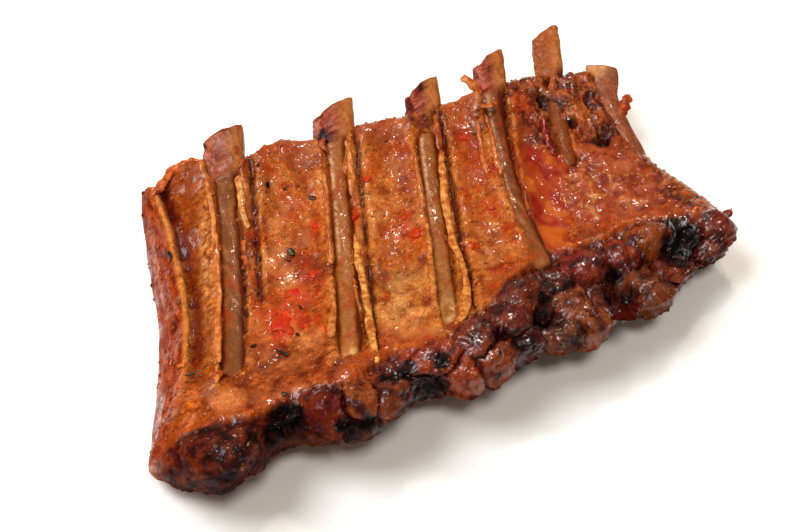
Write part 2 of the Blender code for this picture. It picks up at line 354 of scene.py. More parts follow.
# Round dents (-) and swellings (+) of the hollow side: x, y, radius, height.
SWELLS = [
    (26, -22, 17, -2.2), (-101, 22, 4.5, -1.6), (-104, -4, 4, -1.4),
    (-113, -54, 8, 2.6), (-112, -42, 4, -1.2), (-63, 20, 14, 0.9), (-72, -34, 12, 1),
    (-30, 14, 11, 0.8), (-43, -36, 11, 1), (12, 22, 7, 0.8),
    (46, 38, 6, 2), (53, 35, 3.2, -4), (60.5, 40, 2.6, -3),
    (52.5, 25, 2.4, -3.2), (58.5, 21, 2.2, -3), (66, 9, 3.6, -2.6),
    (62, 22, 4.6, 1.8), (70, 17, 4.2, 1.8), (66, 34, 7, 1.2),
    (33.5, 37, 3.4, -2.6), (-33, 47, 2.2, -2), (72, -8, 6, 1),
    (3, 42, 5.5, 1.8), (6.5, 37, 3, 1), (59, 38, 8, 1.6), (36.5, 30, 4.5, 1.4),
    (64, 27, 5, 2.2), (56.5, 30, 3.2, -2.4), (48, 14, 4, -1.8), (60, -2, 5, 1.2),
    (52, 3, 3.5, -1.4), (70, 26, 3.5, -1.8), (76, -14, 5, -1.2), (45, -32, 5, 1.2),
    (-19, 44, 6, 0.9), (-58, 44, 7, 1), (-107, -55, 3, -1.2), (20, 44, 6, 1.2),
    (-75, -60, 8, 1), (-62, -66, 5, -1.5), (50, 0, 6, -0.8),
]
# Chine lumps (+) and pits (-): x, y, z, radius, height.
LUMPS = [
    (-122, -68, 20, 17, 5), (-101, -75, 28, 7, -8),
    (-79, -76, 22, 15, 6), (-52, -75, 24, 6.5, -7.5),
    (-34, -76, 20, 15, 7), (-7, -55, 31, 11, 6.5),
    (-4, -69, 26, 6, -6), (7, -72, 18, 13, 5),
    (20, -55, 30, 9, 5.5), (27, -66, 22, 5.5, -4.5),
    (38, -68, 19, 10, 4), (51, -48, 27, 8.5, 4.5),
    (58, -57, 22, 7, -6), (76, -54, 20, 9, 3.5),
]
# Muscles of the chine side: x, y, z, radius, height, colour.
MUSCLES = [
    (-128, -73, 34, 9, 1.6, (112, 56, 38)), (-118, -81, 33, 9.5, 2, (92, 46, 33)),
    (-126, -82, 22, 8, 1.6, (84, 40, 28)), (-110, -81, 25, 7, 1.4, (78, 42, 32)),
    (-138, -70, 24, 8, 1, (150, 70, 36)), (-89, -80, 31, 8, 1.6, (118, 48, 34)),
    (-90, -84, 20, 8, 1.4, (110, 60, 42)), (-77, -80, 34, 6.5, 1.6, (160, 82, 44)),
    (-78, -85, 24, 8.5, 1.6, (98, 72, 60)), (-65, -80, 30, 7, 1.8, (122, 62, 44)),
    (-54, -76, 22, 8, 0.8, (60, 28, 18)), (-47, -70, 32, 7.5, 1.4, (164, 66, 32)),
    (-41, -80, 26, 9, 2.2, (168, 74, 38)), (-28, -79, 29, 9, 2.2, (150, 72, 44)),
    (-31, -69, 33, 7.5, 1.4, (128, 56, 40)), (-17, -66, 34, 7, 1.4, (104, 44, 32)),
    (-6, -56, 31, 9.5, 3, (112, 50, 38)), (-14, -76, 26, 6.5, 0.6, (70, 32, 22)),
    (9, -55, 27, 6, 0.8, (44, 20, 15)), (11, -63, 25, 7.5, 2, (132, 68, 44)),
    (-4, -77, 26, 8, 3, (98, 62, 50)), (10, -73, 23, 6.5, 1.8, (146, 76, 44)),
    (23, -51, 25, 9, 2.4, (128, 44, 26)), (22, -64, 20, 6, 1, (84, 38, 26)),
    (37, -68, 23, 9.5, 2.6, (112, 62, 44)), (36, -52, 25, 7, 1.4, (136, 52, 28)),
    (51, -48, 27, 7.5, 2, (158, 80, 42)), (55, -66, 20, 8, 1.6, (104, 50, 34)),
    # The first muscle on the next line, near black, sits in a deep pit: its colour is painted shade.
    (64, -52, 21, 6, 0.2, (18, 11, 9)), (76, -54, 22, 8, 2, (120, 48, 32)),
    (70, -62, 18, 7, 1.4, (92, 38, 26)),
]
# Where the chine side begins, along the rack: x, y.
RIM = [
    (-140, -62), (-130, -64), (-120, -67), (-110, -68), (-104, -65), (-95, -61), (-88, -65), (-77, -68),
    (-66, -64), (-58, -60), (-50, -62), (-40, -63), (-31, -58), (-20, -55), (-12, -50), (-6, -44),
    (2, -41), (15, -37), (27, -38), (36, -40), (46, -38), (54, -38), (74, -46),
]
# Smaller pits and bumps of the chine side, for the looks only.
DETAILS = [
    (-103, -77, 26, 5.5, -4.5), (-99, -70, 29, 6, -4.5), (-84, -82, 31, 3.2, -4),
    (-77, -83, 29.5, 3.4, -4.5), (-64, -72, 31, 4, -3), (-57, -70, 30, 4, -3),
    (-40, -86, 20, 4, -5), (-19, -77, 33, 3.6, -4), (-1, -61, 29, 3.2, -4),
    (-3, -68, 28, 3, -3.5), (13, -55, 28, 3.2, -3), (5, -51, 28, 3, -3),
    (27, -65, 19, 4, -4), (30, -57, 21, 3.6, -4), (64, -52, 20, 5, -4),
    (-130, -84, 19, 3.6, -3.5), (-113, -85, 21, 4, -3.5), (-70, -86, 22, 3, -2.6),
    (-46, -72, 32, 3.5, -2.5), (-24, -72, 34, 3, -2.6), (45, -58, 24, 3.5, -3),
    (-104, -86, 16, 5, 2), (-60, -84, 26, 4, 2),
]
# Golden patches of membrane: x, y, half width, half length, strength.
GOLDEN = [
    (-45, -38, 13, 20, 0.95), (-80, -42, 11, 18, 0.45), (-3, -26, 9, 16, 0.6),
    (-32, 8, 9, 14, 0.55), (-70, -8, 9, 14, 0.5), (-96, -50, 9, 8, 0.45),
    (3, 14, 8, 14, 0.5), (-60, 34, 12, 10, 0.3), (-18, 30, 12, 12, 0.35),
]
# Fat lines under the glazed film: their points in x, y.
FAT_LINES = [
    [(41, -29), (43, -22), (47, -17), (50, -9), (51, -1), (47, 6)],
    [(43, -22), (37, -16), (34, -8)], [(47, -17), (42, -10), (44, -3), (40, 3)],
    [(47, -17), (54, -19), (58, -14), (55, -8), (50, -9)],
    [(54, -19), (57, -27), (63, -31)], [(58, -14), (66, -12), (71, -17)],
]
# Crisp lumps: x, y, z, radius, colour.
CRISP = [
    (46, -43, 27, 5, (176, 72, 28)), (-95, -65, 32, 5, (186, 92, 44)),
    (-70, -66, 30, 8, (160, 70, 34)), (8, -45, 25, 5, (150, 52, 24)),
]
# Strings beside the bones: rib, stops (y, offset, lift), radius, two colours.
STRINGS = [
    (0, [(50, 6.4, 0.6), (42, 5.2, 0.9), (34, 5.6, 0.7), (26, 6.2, 0.5), (20, 7.4, 0.2)], 0.95,
     (176, 100, 46), (222, 158, 92)),
    (0, [(16, 5, 0.3), (8, 5.6, 0.6), (2, 6.6, 0.3)], 0.8, (120, 50, 26), (190, 96, 48)),
    (0, [(46, -7.2, 0.5), (30, -6, 0.6), (12, -5, 0.5), (-6, -5, 0.4), (-22, -5.2, 0.3),
         (-36, -5, 0.3)], 0.8, (176, 90, 42), (212, 130, 70)),
    (0, [(-47, -5.6, 0.2), (-42, -5, 1.6), (-39, -1.5, 2.2), (-40, 2, 2), (-45, 4.4, 0.4)], 1.1,
     (150, 66, 28), (214, 128, 58)),
    (1, [(44, 4.6, 0.5), (36, 5.6, 0.8), (28, 5.4, 0.8), (20, 4.8, 0.4)], 1,
     (170, 84, 38), (206, 128, 68)),
    (1, [(4, 4.8, 0.3), (-6, 5, 0.8), (-18, 5.8, 0.9), (-30, 7.2, 0.8), (-44, 7.6, 0.7),
         (-56, 8.4, 0.5), (-64, 9.2, 0.1)], 1.05, (170, 88, 38), (226, 160, 84)),
    (1, [(34, -5.4, 0), (12, -5.6, 0.2), (-8, -5.6, 0.1)], 0.9, (156, 74, 34), (198, 120, 62)),
    (1, [(-14, -5.8, 0.1), (-28, -5.4, 0.3), (-44, -6.4, 0.1)], 0.9, (160, 78, 36), (200, 124, 64)),
    (2, [(33, -6, 0), (16, -5.6, 0.2), (2, -4.6, 0.1)], 0.9, (150, 70, 32), (190, 110, 56)),
    (2, [(-4, -4.2, 0.1), (-20, -4.4, 0.3), (-44, -5, 0.1)], 0.9, (160, 78, 36), (206, 130, 68)),
    (2, [(26, 5, 0.2), (16, 4.8, 0.8), (4, 4.2, 0.7), (-8, 4.4, 0.5), (-20, 5.2, 0.5), (-30, 7.2, 0.7),
         (-42, 8, 0.9), (-52, 6.6, 0.9), (-59, 4.4, 0.6), (-61, 1, 0.2)], 1,
     (168, 84, 36), (220, 146, 74)),
    (2, [(44, 4.8, 0.2), (36, 5, 0.6), (28, 4.6, 0.3)], 0.8, (130, 54, 28), (190, 100, 50)),
    (3, [(36, -4.4, 0), (22, -3.6, 0.2), (6, -3.4, 0.1)], 0.8, (156, 66, 32), (200, 118, 66)),
    (3, [(34, -8.5, 0.1), (20, -9, 0.3), (10, -8.4, 0.1)], 0.9, (160, 72, 36), (204, 120, 68)),
    (3, [(8, 3.8, 0.2), (-6, 4, 0.6), (-16, 3.6, 0.3)], 0.5, (110, 40, 18), (170, 80, 34)),
    (4, [(28, -7.4, 0.2), (22, -7.6, 1), (14, -6.6, 1), (8, -5.2, 0.3)], 1.15,
     (96, 26, 14), (150, 50, 26)),
    (4, [(20, 3.6, 0.4), (12, 3.8, 0.6), (5, 3.2, 0.3)], 0.9, (130, 54, 24), (186, 92, 40)),
]
# Torn flaps and hanging bits: stops (x, y, z), radius, flatness, two colours.
FLAPS = [
    ([(-107, 47, 24.4), (-102, 51, 25.6), (-95, 55.5, 26.6), (-89, 57, 26.6), (-84, 55, 26)], 2, 0.5,
     (150, 62, 34), (206, 108, 52)),
    ([(32, 48, 23), (29.5, 52, 25.4), (27.5, 55.5, 26.6), (29, 58, 26.4)], 2.2, 0.45,
     (170, 80, 40), (212, 126, 62)),
    ([(77, 17, 15), (82, 20, 17), (86, 23, 18.4), (89, 26, 18.6)], 2.8, 0.5,
     (140, 52, 26), (190, 92, 44)),
    ([(26, 40, 24), (30, 37.5, 25.6), (34, 39, 24.4)], 1.6, 0.4, (150, 62, 30), (206, 116, 56)),
    ([(-3, -64, 14), (-1, -67, 10.5), (0, -68, 7), (-1, -67.5, 4.4)], 1.3, 0.8,
     (60, 26, 16), (120, 56, 32)),
    ([(4, -66, 16), (7, -69, 12), (8, -69.5, 8.5)], 1.6, 0.7, (70, 28, 16), (130, 60, 34)),
    ([(78, -52, 22), (84, -50, 23), (87, -48, 22)], 2, 0.7, (90, 36, 20), (150, 66, 34)),
    ([(78, -57, 17), (83, -56, 17), (86, -54.5, 16)], 1.8, 0.7, (80, 32, 18), (140, 58, 30)),
    ([(-37, 49, 24.5), (-40, 45, 25.4), (-39, 40, 25.2)], 1.5, 0.6, (120, 48, 30), (176, 84, 48)),
]
# Dried leaves and pepper: x, y, half length, half width, colour.
LEAVES = [
    (-66, 36, 1.5, 1.2, (22, 20, 14)), (-66, 45, 1, 0.6, (44, 40, 30)),
    (-109.5, 22, 2.8, 1.3, (34, 34, 26)), (-52, 25, 1.9, 1, (40, 34, 22)),
    (-69, 5, 2, 1.5, (72, 68, 50)), (-80, 7, 1.4, 0.7, (40, 42, 34)),
    (-85, 12, 1.3, 0.8, (34, 32, 26)), (-94, -17, 2.3, 1.1, (48, 52, 42)),
    (-104, -22, 1.2, 0.8, (36, 30, 22)), (-120, -34, 2.9, 1, (72, 74, 56)),
    (-98, -34, 1.6, 0.8, (44, 40, 30)), (-90, -41, 3, 1, (46, 40, 30)),
    (-82, -35, 1.4, 0.8, (40, 36, 28)), (-97, -62, 1.5, 0.8, (56, 54, 42)),
    (20, 30, 1.4, 0.6, (34, 36, 24)), (-60, 33, 1, 0.6, (60, 50, 36)),
    (-88, 3, 1.3, 0.9, (24, 22, 18)), (-90, -4, 1.4, 0.8, (26, 22, 16)),
    (-76, -22, 1.2, 0.6, (46, 40, 30)),
]
# Soft red and yellow bits: x, y, half length, colour.
TOMATO = [
    (-85, -27, 5.2, (186, 44, 20)), (-81.5, -23, 2.4, (206, 66, 26)),
    (-75, -14, 2.2, (190, 36, 14)), (-24, -7, 2.6, (184, 40, 16)),
    (-44, 18, 3.2, (176, 34, 14)), (-41, 12, 2.2, (164, 34, 14)), (-24, 3, 1.5, (180, 44, 18)),
    (-122, -29, 1.3, (214, 138, 60)), (-114, -42, 0.9, (220, 130, 50)),
    (-72, -40, 2, (196, 60, 24)), (2, 3, 1.8, (176, 44, 18)), (-8, -22, 1.7, (186, 52, 22)),
    (-30, 24, 1.4, (184, 52, 22)), (-57, 12, 1.5, (184, 44, 18)), (8, -6, 1.6, (186, 60, 26)),
    (-66, -8, 1.5, (190, 56, 22)), (15, 30, 1.6, (170, 48, 22)),
]
# Last correction of every painted colour: factor and what is taken off.
TONE = 0.92
HAZE = 0.012
# Base colour of each bone.
BONE_TONES = [(118, 68, 40), (150, 88, 48), (136, 78, 40), (108, 58, 33), (142, 76, 40), (196, 118, 72)]
# Near-black spots painted on the bone tips: rib, x, y, radius.
BONE_PITS = [(1, -37, 49, 3.2), (2, 9.5, 56, 1.8), (0, -82, 61, 1.2)]


def beside(row, x, y):
    """Distance across from the middle of a lip or groove, and its fade at both ends."""
    rib, y0, y1, at0, at1 = row[:5]
    offset = at0 + (at1 - at0) * np.clip((y - y0) / (y1 - y0), 0, 1)
    fade = smooth(y0 - 4, y0 + 5, y) * (1 - smooth(y1 - 2, y1 + 4, y))
    return x - rib_x(rib, y) - offset, fade


def bone_open(i, y):
    """Left and right edges of the opening over a bone."""
    ys, lefts, rights = OPEN[i]
    return np.interp(y, ys, lefts), np.interp(y, ys, rights)


def hollow_side(x, y):
    """Height of the hollow side before any lumps or grain."""
    z = arch(y)
    place = np.stack([x, y, 0 * x], axis=-1)
    wobble = 1.5 * fbm(place * np.array([0.35, 1, 1]), 11, 3, 8)
    full = 0.62 + 0.75 * fbm(place, 12, 2, 9)
    panel = np.ones_like(x)
    lift = np.zeros_like(x)
    for row in LIPS:
        half, high = row[5:7]
        d, fade = beside(row, x, y)
        d = d - 0.6 * wobble
        lift = np.maximum(lift, high * fade * bell(d, half * 1.3) * np.clip(full, 0.2, 1.3))
        panel *= 1 - fade * bell(d, 5)
    z = z + lift - PANEL_DIP * panel * smooth(-62, -42, y)
    for row in GROOVES:
        half, deep = row[5:]
        d, fade = beside(row, x, y)
        z = z - deep * fade * bell(d - 0.5 * wobble, half) * np.clip(1.4 - full, 0.35, 1.2)
    for i, rib in enumerate(RIBS):
        left, right = bone_open(i, y)
        dx = x - rib_x(i, y) - 0.35 * wobble * (y < 40)
        low = arch(y) - rib[8] - rib[7] * 1.15
        fade = smooth(rib[4] - 3, rib[4] + 5, y)
        for covered, from_y, to_y in COVERED:
            if covered == i:
                over = smooth(from_y, from_y + 3, y) * (1 - smooth(to_y - 3, to_y, y))
                fade = fade * (1 - over)
        inside = smooth(left - 0.7, left + 0.2, dx) * (1 - smooth(right - 0.2, right + 0.7, dx))
        z = z + (np.minimum(low, z) - z) * inside * fade
    edge = x - left_edge(y)
    strip = smooth(-40, -24, y)
    z = z + 1.1 * bell(edge - 1.6 - 0.5 * wobble, 1.7) * strip
    z = z - 2.6 * bell(edge - 5.4 - 0.3 * wobble, 2.9) * strip
    for cx, cy, radius, high in SWELLS:
        z = z + high * bell(np.hypot(x - cx, y - cy), radius)
    narrow = smooth(-22, 20, x)
    return z - FALL_DEPTH * narrow * smooth(FALL_FROM, FALL_TO, y)


def underside(y):
    near = LIFT_NEAR * np.minimum(0, y + REST_NEAR) ** 2
    far = LIFT_FAR * np.maximum(0, y - REST_FAR) ** 2
    return near + far


def mid_height(y):
    return 0.5 * (arch(y) + underside(y))


# ---------------------------------------------------------------- slab mesh
def column_plan():
    """Columns of the slab: plan segment, share across it, rounding share at the ends."""
    widths = [float(plan_line(k + 1, 0) - plan_line(k, 0)) for k in range(7)]
    plan = []
    power = 3
    for k in range(EDGE_COLS):
        share = k / EDGE_COLS
        t = 1 - (1 - share ** power) ** (1 / power)
        plan.append((0, LEFT_ROUND * t / widths[0]))
    for seg in range(7):
        start = LEFT_ROUND if seg == 0 else 0
        stop = widths[seg]
        d = start
        while d < stop - 0.2:
            plan.append((seg, d / stop))
            to_line = min(d, stop - d) if seg > 0 else stop - d
            d += COL_FINE if to_line < FINE_REACH or seg == 0 else COL_PLAIN
    plan.append((6, 1))
    return plan


def slab_rows(y_near, y_far):
    """The y of each point across the slab, an odd number, finer on the rounded edges."""
    inner = int(round((SLAB_ACROSS - NEAR_ROUND - FAR_ROUND) / ROW_STEP))
    inner += inner % 2
    turn = np.linspace(0, math.pi / 2, NEAR_ROWS + 1)[:-1]
    back = np.linspace(math.pi / 2, 0, FAR_ROWS + 1)
    a = y_near[:, None] + NEAR_ROUND * (1 - np.cos(turn))[None, :]
    start = y_near + NEAR_ROUND
    stop = y_far - FAR_ROUND
    b = start[:, None] + (stop - start)[:, None] * np.linspace(0, 1, inner + 1)[None, :-1]
    c = y_far[:, None] - FAR_ROUND * (1 - np.cos(back))[None, :]
    return np.concatenate([a, b, c], axis=1)


def full_at(distance, reach):
    t = np.clip(distance / reach, 0, 1)
    return np.sqrt(1 - (1 - t) ** 2)


def boxy_at(distance, reach):
    t = np.clip(distance / reach, 0, 1)
    return (1 - (1 - t) ** 3) ** (1 / 3)


def slab_side(seg, share, y, upper):
    """Points of the upper or the lower side."""
    lines = np.stack([plan_line(k, y) for k in range(8)])
    rows = np.arange(y.shape[0])[:, None]
    cols = np.arange(y.shape[1])[None, :]
    left = lines[seg[:, None], rows, cols]
    right = lines[seg[:, None] + 1, rows, cols]
    x = left + (right - left) * share[:, None]
    top = hollow_side(x, y)
    under = underside(y)
    full = full_at(y - y[:, :1], NEAR_ROUND) * full_at(y[:, -1:] - y, FAR_ROUND)
    from_left = x - lines[0]
    full = full * boxy_at(from_left, LEFT_ROUND) * full_at(lines[7] - x, RIGHT_ROUND)
    middle = mid_height(y)
    if upper:
        z = middle + (top - middle) * full
    else:
        z = middle + (under - middle) * full
    flare = CUT_FLARE + CUT_FLARE_NEAR * smooth(20, -45, y)
    x = x - flare * np.maximum(0, 1 - from_left / FLARE_REACH) * (arch(y) - z) / arch(y)
    return np.stack([x, y, z], axis=-1)


def slab_mesh():
    """Vertices and faces of the closed slab, before displacement."""
    plan = column_plan()
    seg = np.array([p[0] for p in plan])
    share = np.array([p[1] for p in plan])

    def line_at(y):
        left = np.array([float(plan_line(s, y)) for s in seg])
        right = np.array([float(plan_line(s + 1, y)) for s in seg])
        return left + (right - left) * share

    y_near = near_edge(line_at(-65))
    y_far = far_edge(line_at(50))
    y = slab_rows(y_near, y_far)
    upper = slab_side(seg, share, y, True)
    lower = slab_side(seg, share, y, False)[:, ::2]
    cols, rows = y.shape
    low_rows = lower.shape[1]
    top_id = np.arange(cols * rows).reshape(cols, rows)
    low_id = np.full((cols, low_rows), -1)
    keep = np.zeros((cols, low_rows), bool)
    keep[1:-1, 1:-1] = True
    low_id[keep] = cols * rows + np.arange(keep.sum())
    low_id[:, 0] = top_id[:, 0]
    low_id[:, -1] = top_id[:, -1]
    low_id[0] = top_id[0, ::2]
    low_id[-1] = top_id[-1, ::2]
    points = np.concatenate([upper.reshape(-1, 3), lower[keep]])
    quads = np.stack([top_id[:-1, :-1], top_id[1:, :-1], top_id[1:, 1:], top_id[:-1, 1:]], -1)
    faces = quads.reshape(-1, 4).tolist()
    low = np.stack([low_id[:-1, :-1], low_id[:-1, 1:], low_id[1:, 1:], low_id[1:, :-1]], -1)
    for c in range(cols - 1):
        for face in low[c].tolist():
            if c == 0:
                mid = (face[0] + face[1]) // 2
                face = [face[0], mid] + face[1:]
            if c == cols - 2:
                mid = (face[2] + face[3]) // 2
                face = face[:-1] + [mid] + face[-1:]
            faces.append(face)
    clean = []
    for face in faces:
        unique = list(dict.fromkeys(face))
        if len(unique) > 2:
            clean.append(unique)
    return points, clean


def triangles_of(faces):
    out = []
    for f in faces:
        for k in range(1, len(f) - 1):
            out.append((f[0], f[k], f[k + 1]))
    return np.array(out)


def vertex_normals(points, tris):
    a, b, c = points[tris[:, 0]], points[tris[:, 1]], points[tris[:, 2]]
    n = np.cross(b - a, c - a)
    total = np.zeros_like(points)
    for k in range(3):
        for axis in range(3):
            total[:, axis] += np.bincount(tris[:, k], n[:, axis], len(points))
    return unit(total, 1e-12)


class Neighbours:
    """Averages a value over the neighbours of each vertex."""

    def __init__(self, tris, count):
        pairs = np.concatenate([tris[:, [0, 1]], tris[:, [1, 2]], tris[:, [2, 0]]])
        pairs = np.unique(np.sort(pairs, axis=1), axis=0)
        self.a = np.concatenate([pairs[:, 0], pairs[:, 1]])
        self.b = np.concatenate([pairs[:, 1], pairs[:, 0]])
        self.count = count
        self.number = np.bincount(self.a, minlength=count)

    def average(self, values, rounds):
        for _ in range(rounds):
            if values.ndim == 1:
                total = np.bincount(self.a, values[self.b], self.count)
                values = 0.5 * values + 0.5 * total / self.number
            else:
                columns = [self.average(values[:, k], 1) for k in range(values.shape[1])]
                values = np.stack(columns, axis=1)
        return values


def muscles_at(p):
    """Nearest muscle of the chine side: its number, share of its radius, and the crease beside it."""
    near = np.full(len(p), 9.0)
    second = np.full(len(p), 9.0)
    which = np.zeros(len(p), int)
    for k, (cx, cy, cz, radius, _, _) in enumerate(MUSCLES):
        d = around(p, cx, cy, cz) / radius
        closer = d < near
        second = np.where(closer, near, np.minimum(second, d))
        which = np.where(closer, k, which)
        near = np.where(closer, d, near)
    return which, near, smooth(0.16, 0, second - near) * smooth(1.9, 1.4, near)


def region_masks(p):
    """Where the kinds of surface are, from position alone."""
    x, y, z = p[:, 0], p[:, 1], p[:, 2]
    wave = 6 * fbm(p, 22, 2, 71)
    masks = {}
    masks["up"] = smooth(-1.5, 3, z - mid_height(y))
    rim = np.interp(x, [r[0] for r in RIM], [r[1] for r in RIM])
    masks["chine"] = smooth(1, -2.5, y - rim + 0.3 * wave)
    masks["browned"] = smooth(9, -2, y - rim + 0.9 * wave)
    masks["messy"] = smooth(36, 44, x + 0.3 * wave) * smooth(4, 11, y + 0.4 * wave)
    collar = np.hypot((x - 4) / 8, (y - 43) / 8) + 0.04 * wave
    masks["messy"] = np.maximum(masks["messy"], 0.8 * smooth(1.1, 0.8, collar))
    sauce = line_distance(x + 0.5 * wave, y, [(17, -32), (22, -22), (29, -6), (36, 8)])
    masks["pool"] = smooth(10.5, 8, sauce + 0.4 * wave) * (1 - masks["chine"])
    masks["pool"] *= smooth(2, 3.5, x - rib_x(3, y))
    film = np.hypot((x - 54) / 22, (y + 14) / 21) + 0.04 * wave
    masks["film"] = smooth(1.05, 0.85, film) * (1 - masks["chine"]) * (1 - masks["pool"])
    masks["crust"] = smooth(66, 74, x + 0.6 * wave) * smooth(8, 0, y + 0.5 * wave)
    masks["crust"] *= (1 - masks["chine"]) * (1 - 0.6 * masks["film"])
    masks["cut"] = smooth(2.5, -1, x - left_edge(y))
    masks["strip"] = smooth(2, -2, x - rib_x(0, y) + 8)
    masks["smooth"] = smooth(1.1, 0.7, np.hypot((x + 114) / 7, (y + 57) / 8) + 0.03 * wave)
    near_bone = np.zeros(len(p))
    for i, rib in enumerate(RIBS):
        left, right = bone_open(i, y)
        dx = x - rib_x(i, y)
        gap = np.maximum(np.maximum(left - dx, dx - right), 0)
        near_bone = np.maximum(near_bone, bell(gap, 2.2) * smooth(rib[4] - 6, rib[4] + 2, y))
    masks["bone_side"] = near_bone * masks["up"]
    gold = np.zeros(len(p))
    for row in LIPS:
        d, fade = beside(row, x, y)
        gold = np.maximum(gold, row[7] * fade * bell(d, row[5]))
    masks["lip"] = gold * masks["up"]
    crud = np.zeros(len(p))
    for row in GROOVES:
        half, deep = row[5:]
        d, fade = beside(row, x, y)
        crud = np.maximum(crud, fade * bell(d, 2.2 * half) * min(1, 0.4 * deep))
    patchy = smooth(-0.3, 0.25, fbm(p, 7, 2, 72))
    masks["crud"] = crud * masks["up"] * patchy * (1 - masks["pool"])
    return masks


def skin_normals(points, tris, near, rounds):
    """Normals evened out over the neighbours."""
    return unit(near.average(vertex_normals(points, tris), rounds))


def off_the_rest(z, y, high, near_from, near_to, far_from, far_to):
    """1 away from the flat strip that the rack rests on, 0 on it."""
    away = smooth(0, high, z) + smooth(near_from, near_to, y) + smooth(far_from, far_to, y)
    return np.clip(away, 0, 1)


def push_lumps(points, n):
    """Lumps, pits and muscles of the chine side, pushed along the normals."""
    x, y, z = points.T
    push = np.zeros(len(points))
    for cx, cy, cz, radius, high in LUMPS:
        push += high * bell(around(points, cx, cy, cz), radius)
    push *= smooth(-34, -50, y)
    for cx, cy, cz, radius, high in DETAILS:
        push += high * bell(around(points, cx, cy, cz), radius)
    which, share, crease = muscles_at(points + 1.6 * drift(points, 7, 5))
    rise = np.array([m[4] for m in MUSCLES])[which]
    split = 2.2 * (1 - 0.8 * smooth(*KNOB_EDGE, x))
    swell = rise * (0.9 - np.minimum(share, 1.5) ** 2) - split * crease
    push += region_masks(points)["chine"] * swell
    push *= off_the_rest(z, y, 2.5, -30, -42, 22, 34)
    return points + n * push[:, None], which, crease


def surface_grain(p, masks, start):
    """Height of crumble, fibres, creases and film by region; start is p before the lumps."""
    x, y, z = start.T
    warped = p + 2.2 * drift(p, 9, 5)
    small, small2, _ = cells(warped, 4.6, 31)
    crease_small = smooth(0.2, 0, small2 - small)
    fibre = ridged(warped * np.array([0.4, 1, 1]), 5, 3, 43) - 0.5
    streaky = 1.3 * fibre + 0.6 * fbm(p, 2.6, 3, 41)
    clumps = fbm(p, 3.2, 4, 42) + 0.5 * (0.6 - small) - 0.3 * crease_small + fibre
    pebbles, _, pebble_pick = cells(p, 2.1, 15)
    wet = smooth(-0.12, 0.2, fbm(p, 10, 2, 16))
    calm = 0.5 * fbm(p, 14, 2, 11) + 0.36 * fbm(p, 4.5, 2, 12)
    rough = 0.16 * fbm(p, 1.7, 2, 13) + 0.34 * smooth(0.6, 0.1, pebbles) * (pebble_pick > 0.55)
    rough += 0.2 * (ridged(p * np.array([1, 0.33, 1]), 3.2, 2, 14) - 0.45)
    calm += rough * (1 - 0.85 * wet) * (1 - 0.8 * masks["smooth"])
    masks["wet"] = np.maximum(wet, 0.8 * masks["smooth"])
    fields = {
        "cut": 0.8 * (ridged(p * np.array([1, 0.5, 0.7]), 5, 3, 81) - 0.5) + 0.3 * fbm(p, 2, 2, 82),
        "crud": 0.9 * (0.55 - small) + 0.6 * fbm(p, 2.2, 3, 53),
        "messy": (1.9 * (ridged(warped * np.array([1, 0.5, 1]), 7, 3, 51) - 0.5)
                  + (0.45 * (0.55 - small) + 0.5 * fbm(p, 2.2, 3, 52))),
        "crust": clumps,
        "film": 0.7 * fbm(p, 7, 2, 62) + 0.9 * (ridged(warped, 8, 2, 63) - 0.5),
        "pool": 0.5 * fbm(p, 8, 2, 61) + 0.25 * fbm(p, 3, 2, 64),
        "chine": streaky + (clumps - streaky) * smooth(-100, -84, x),
    }
    grain = calm
    for name, field in fields.items():
        grain = grain + (field - grain) * masks[name]
    under = smooth(0.6, -0.6, z - mid_height(y))
    plain = 0.5 * fbm(p, 12, 3, 91) + 0.12 * fbm(p, 2, 2, 92)
    return grain + (plain - grain) * under * (1 - masks["chine"])


def displace_slab(points, faces):
    """Lumps in a first pass and grain in a second; also measures pits, cracks and creases."""
    tris = triangles_of(faces)
    near = Neighbours(tris, len(points))
    start = points
    points, which, crease = push_lumps(start, skin_normals(start, tris, near, 6))
    masks = region_masks(points)
    grain = surface_grain(points, masks, start)
    grain *= off_the_rest(start[:, 2], start[:, 1], 3, -28, -38, 20, 30)
    points = points + skin_normals(points, tris, near, 2) * grain[:, None]
    soft = np.maximum(masks["bone_side"], masks["lip"])[:, None]
    points = points + (near.average(points, 3) - points) * np.clip(0.9 * soft, 0, 0.8)
    over = np.maximum(0, points[:, 2] - CEILING)
    points[:, 2] += CEILING_ROOM * (1 - np.exp(-over / CEILING_ROOM)) - over
    points[:, 2] = np.maximum(points[:, 2], 0)
    wide = near.average(points, 14)
    fine = near.average(points, 3)
    n = vertex_normals(points, tris)
    pit = np.sum((wide - points) * n, axis=1)
    crack = np.sum((fine - points) * n, axis=1)
    masks["crease"] = crease * masks["chine"] * (1 - 0.8 * smooth(*KNOB_EDGE, points[:, 0]))
    return points, masks, pit, crack, n, which


# ---------------------------------------------------------------- colours of the meat
class Paint:
    """Colour per vertex, laid on in coats."""

    def __init__(self, count, color):
        self.c = np.tile(srgb(*color), (count, 1))

    def coat(self, mask, color, amount=1):
        m = np.clip(mask * amount, 0, 1)[:, None]
        self.c = self.c + (srgb(*color)[None, :] - self.c) * m

    def shade(self, factor):
        self.c = self.c * factor[:, None]


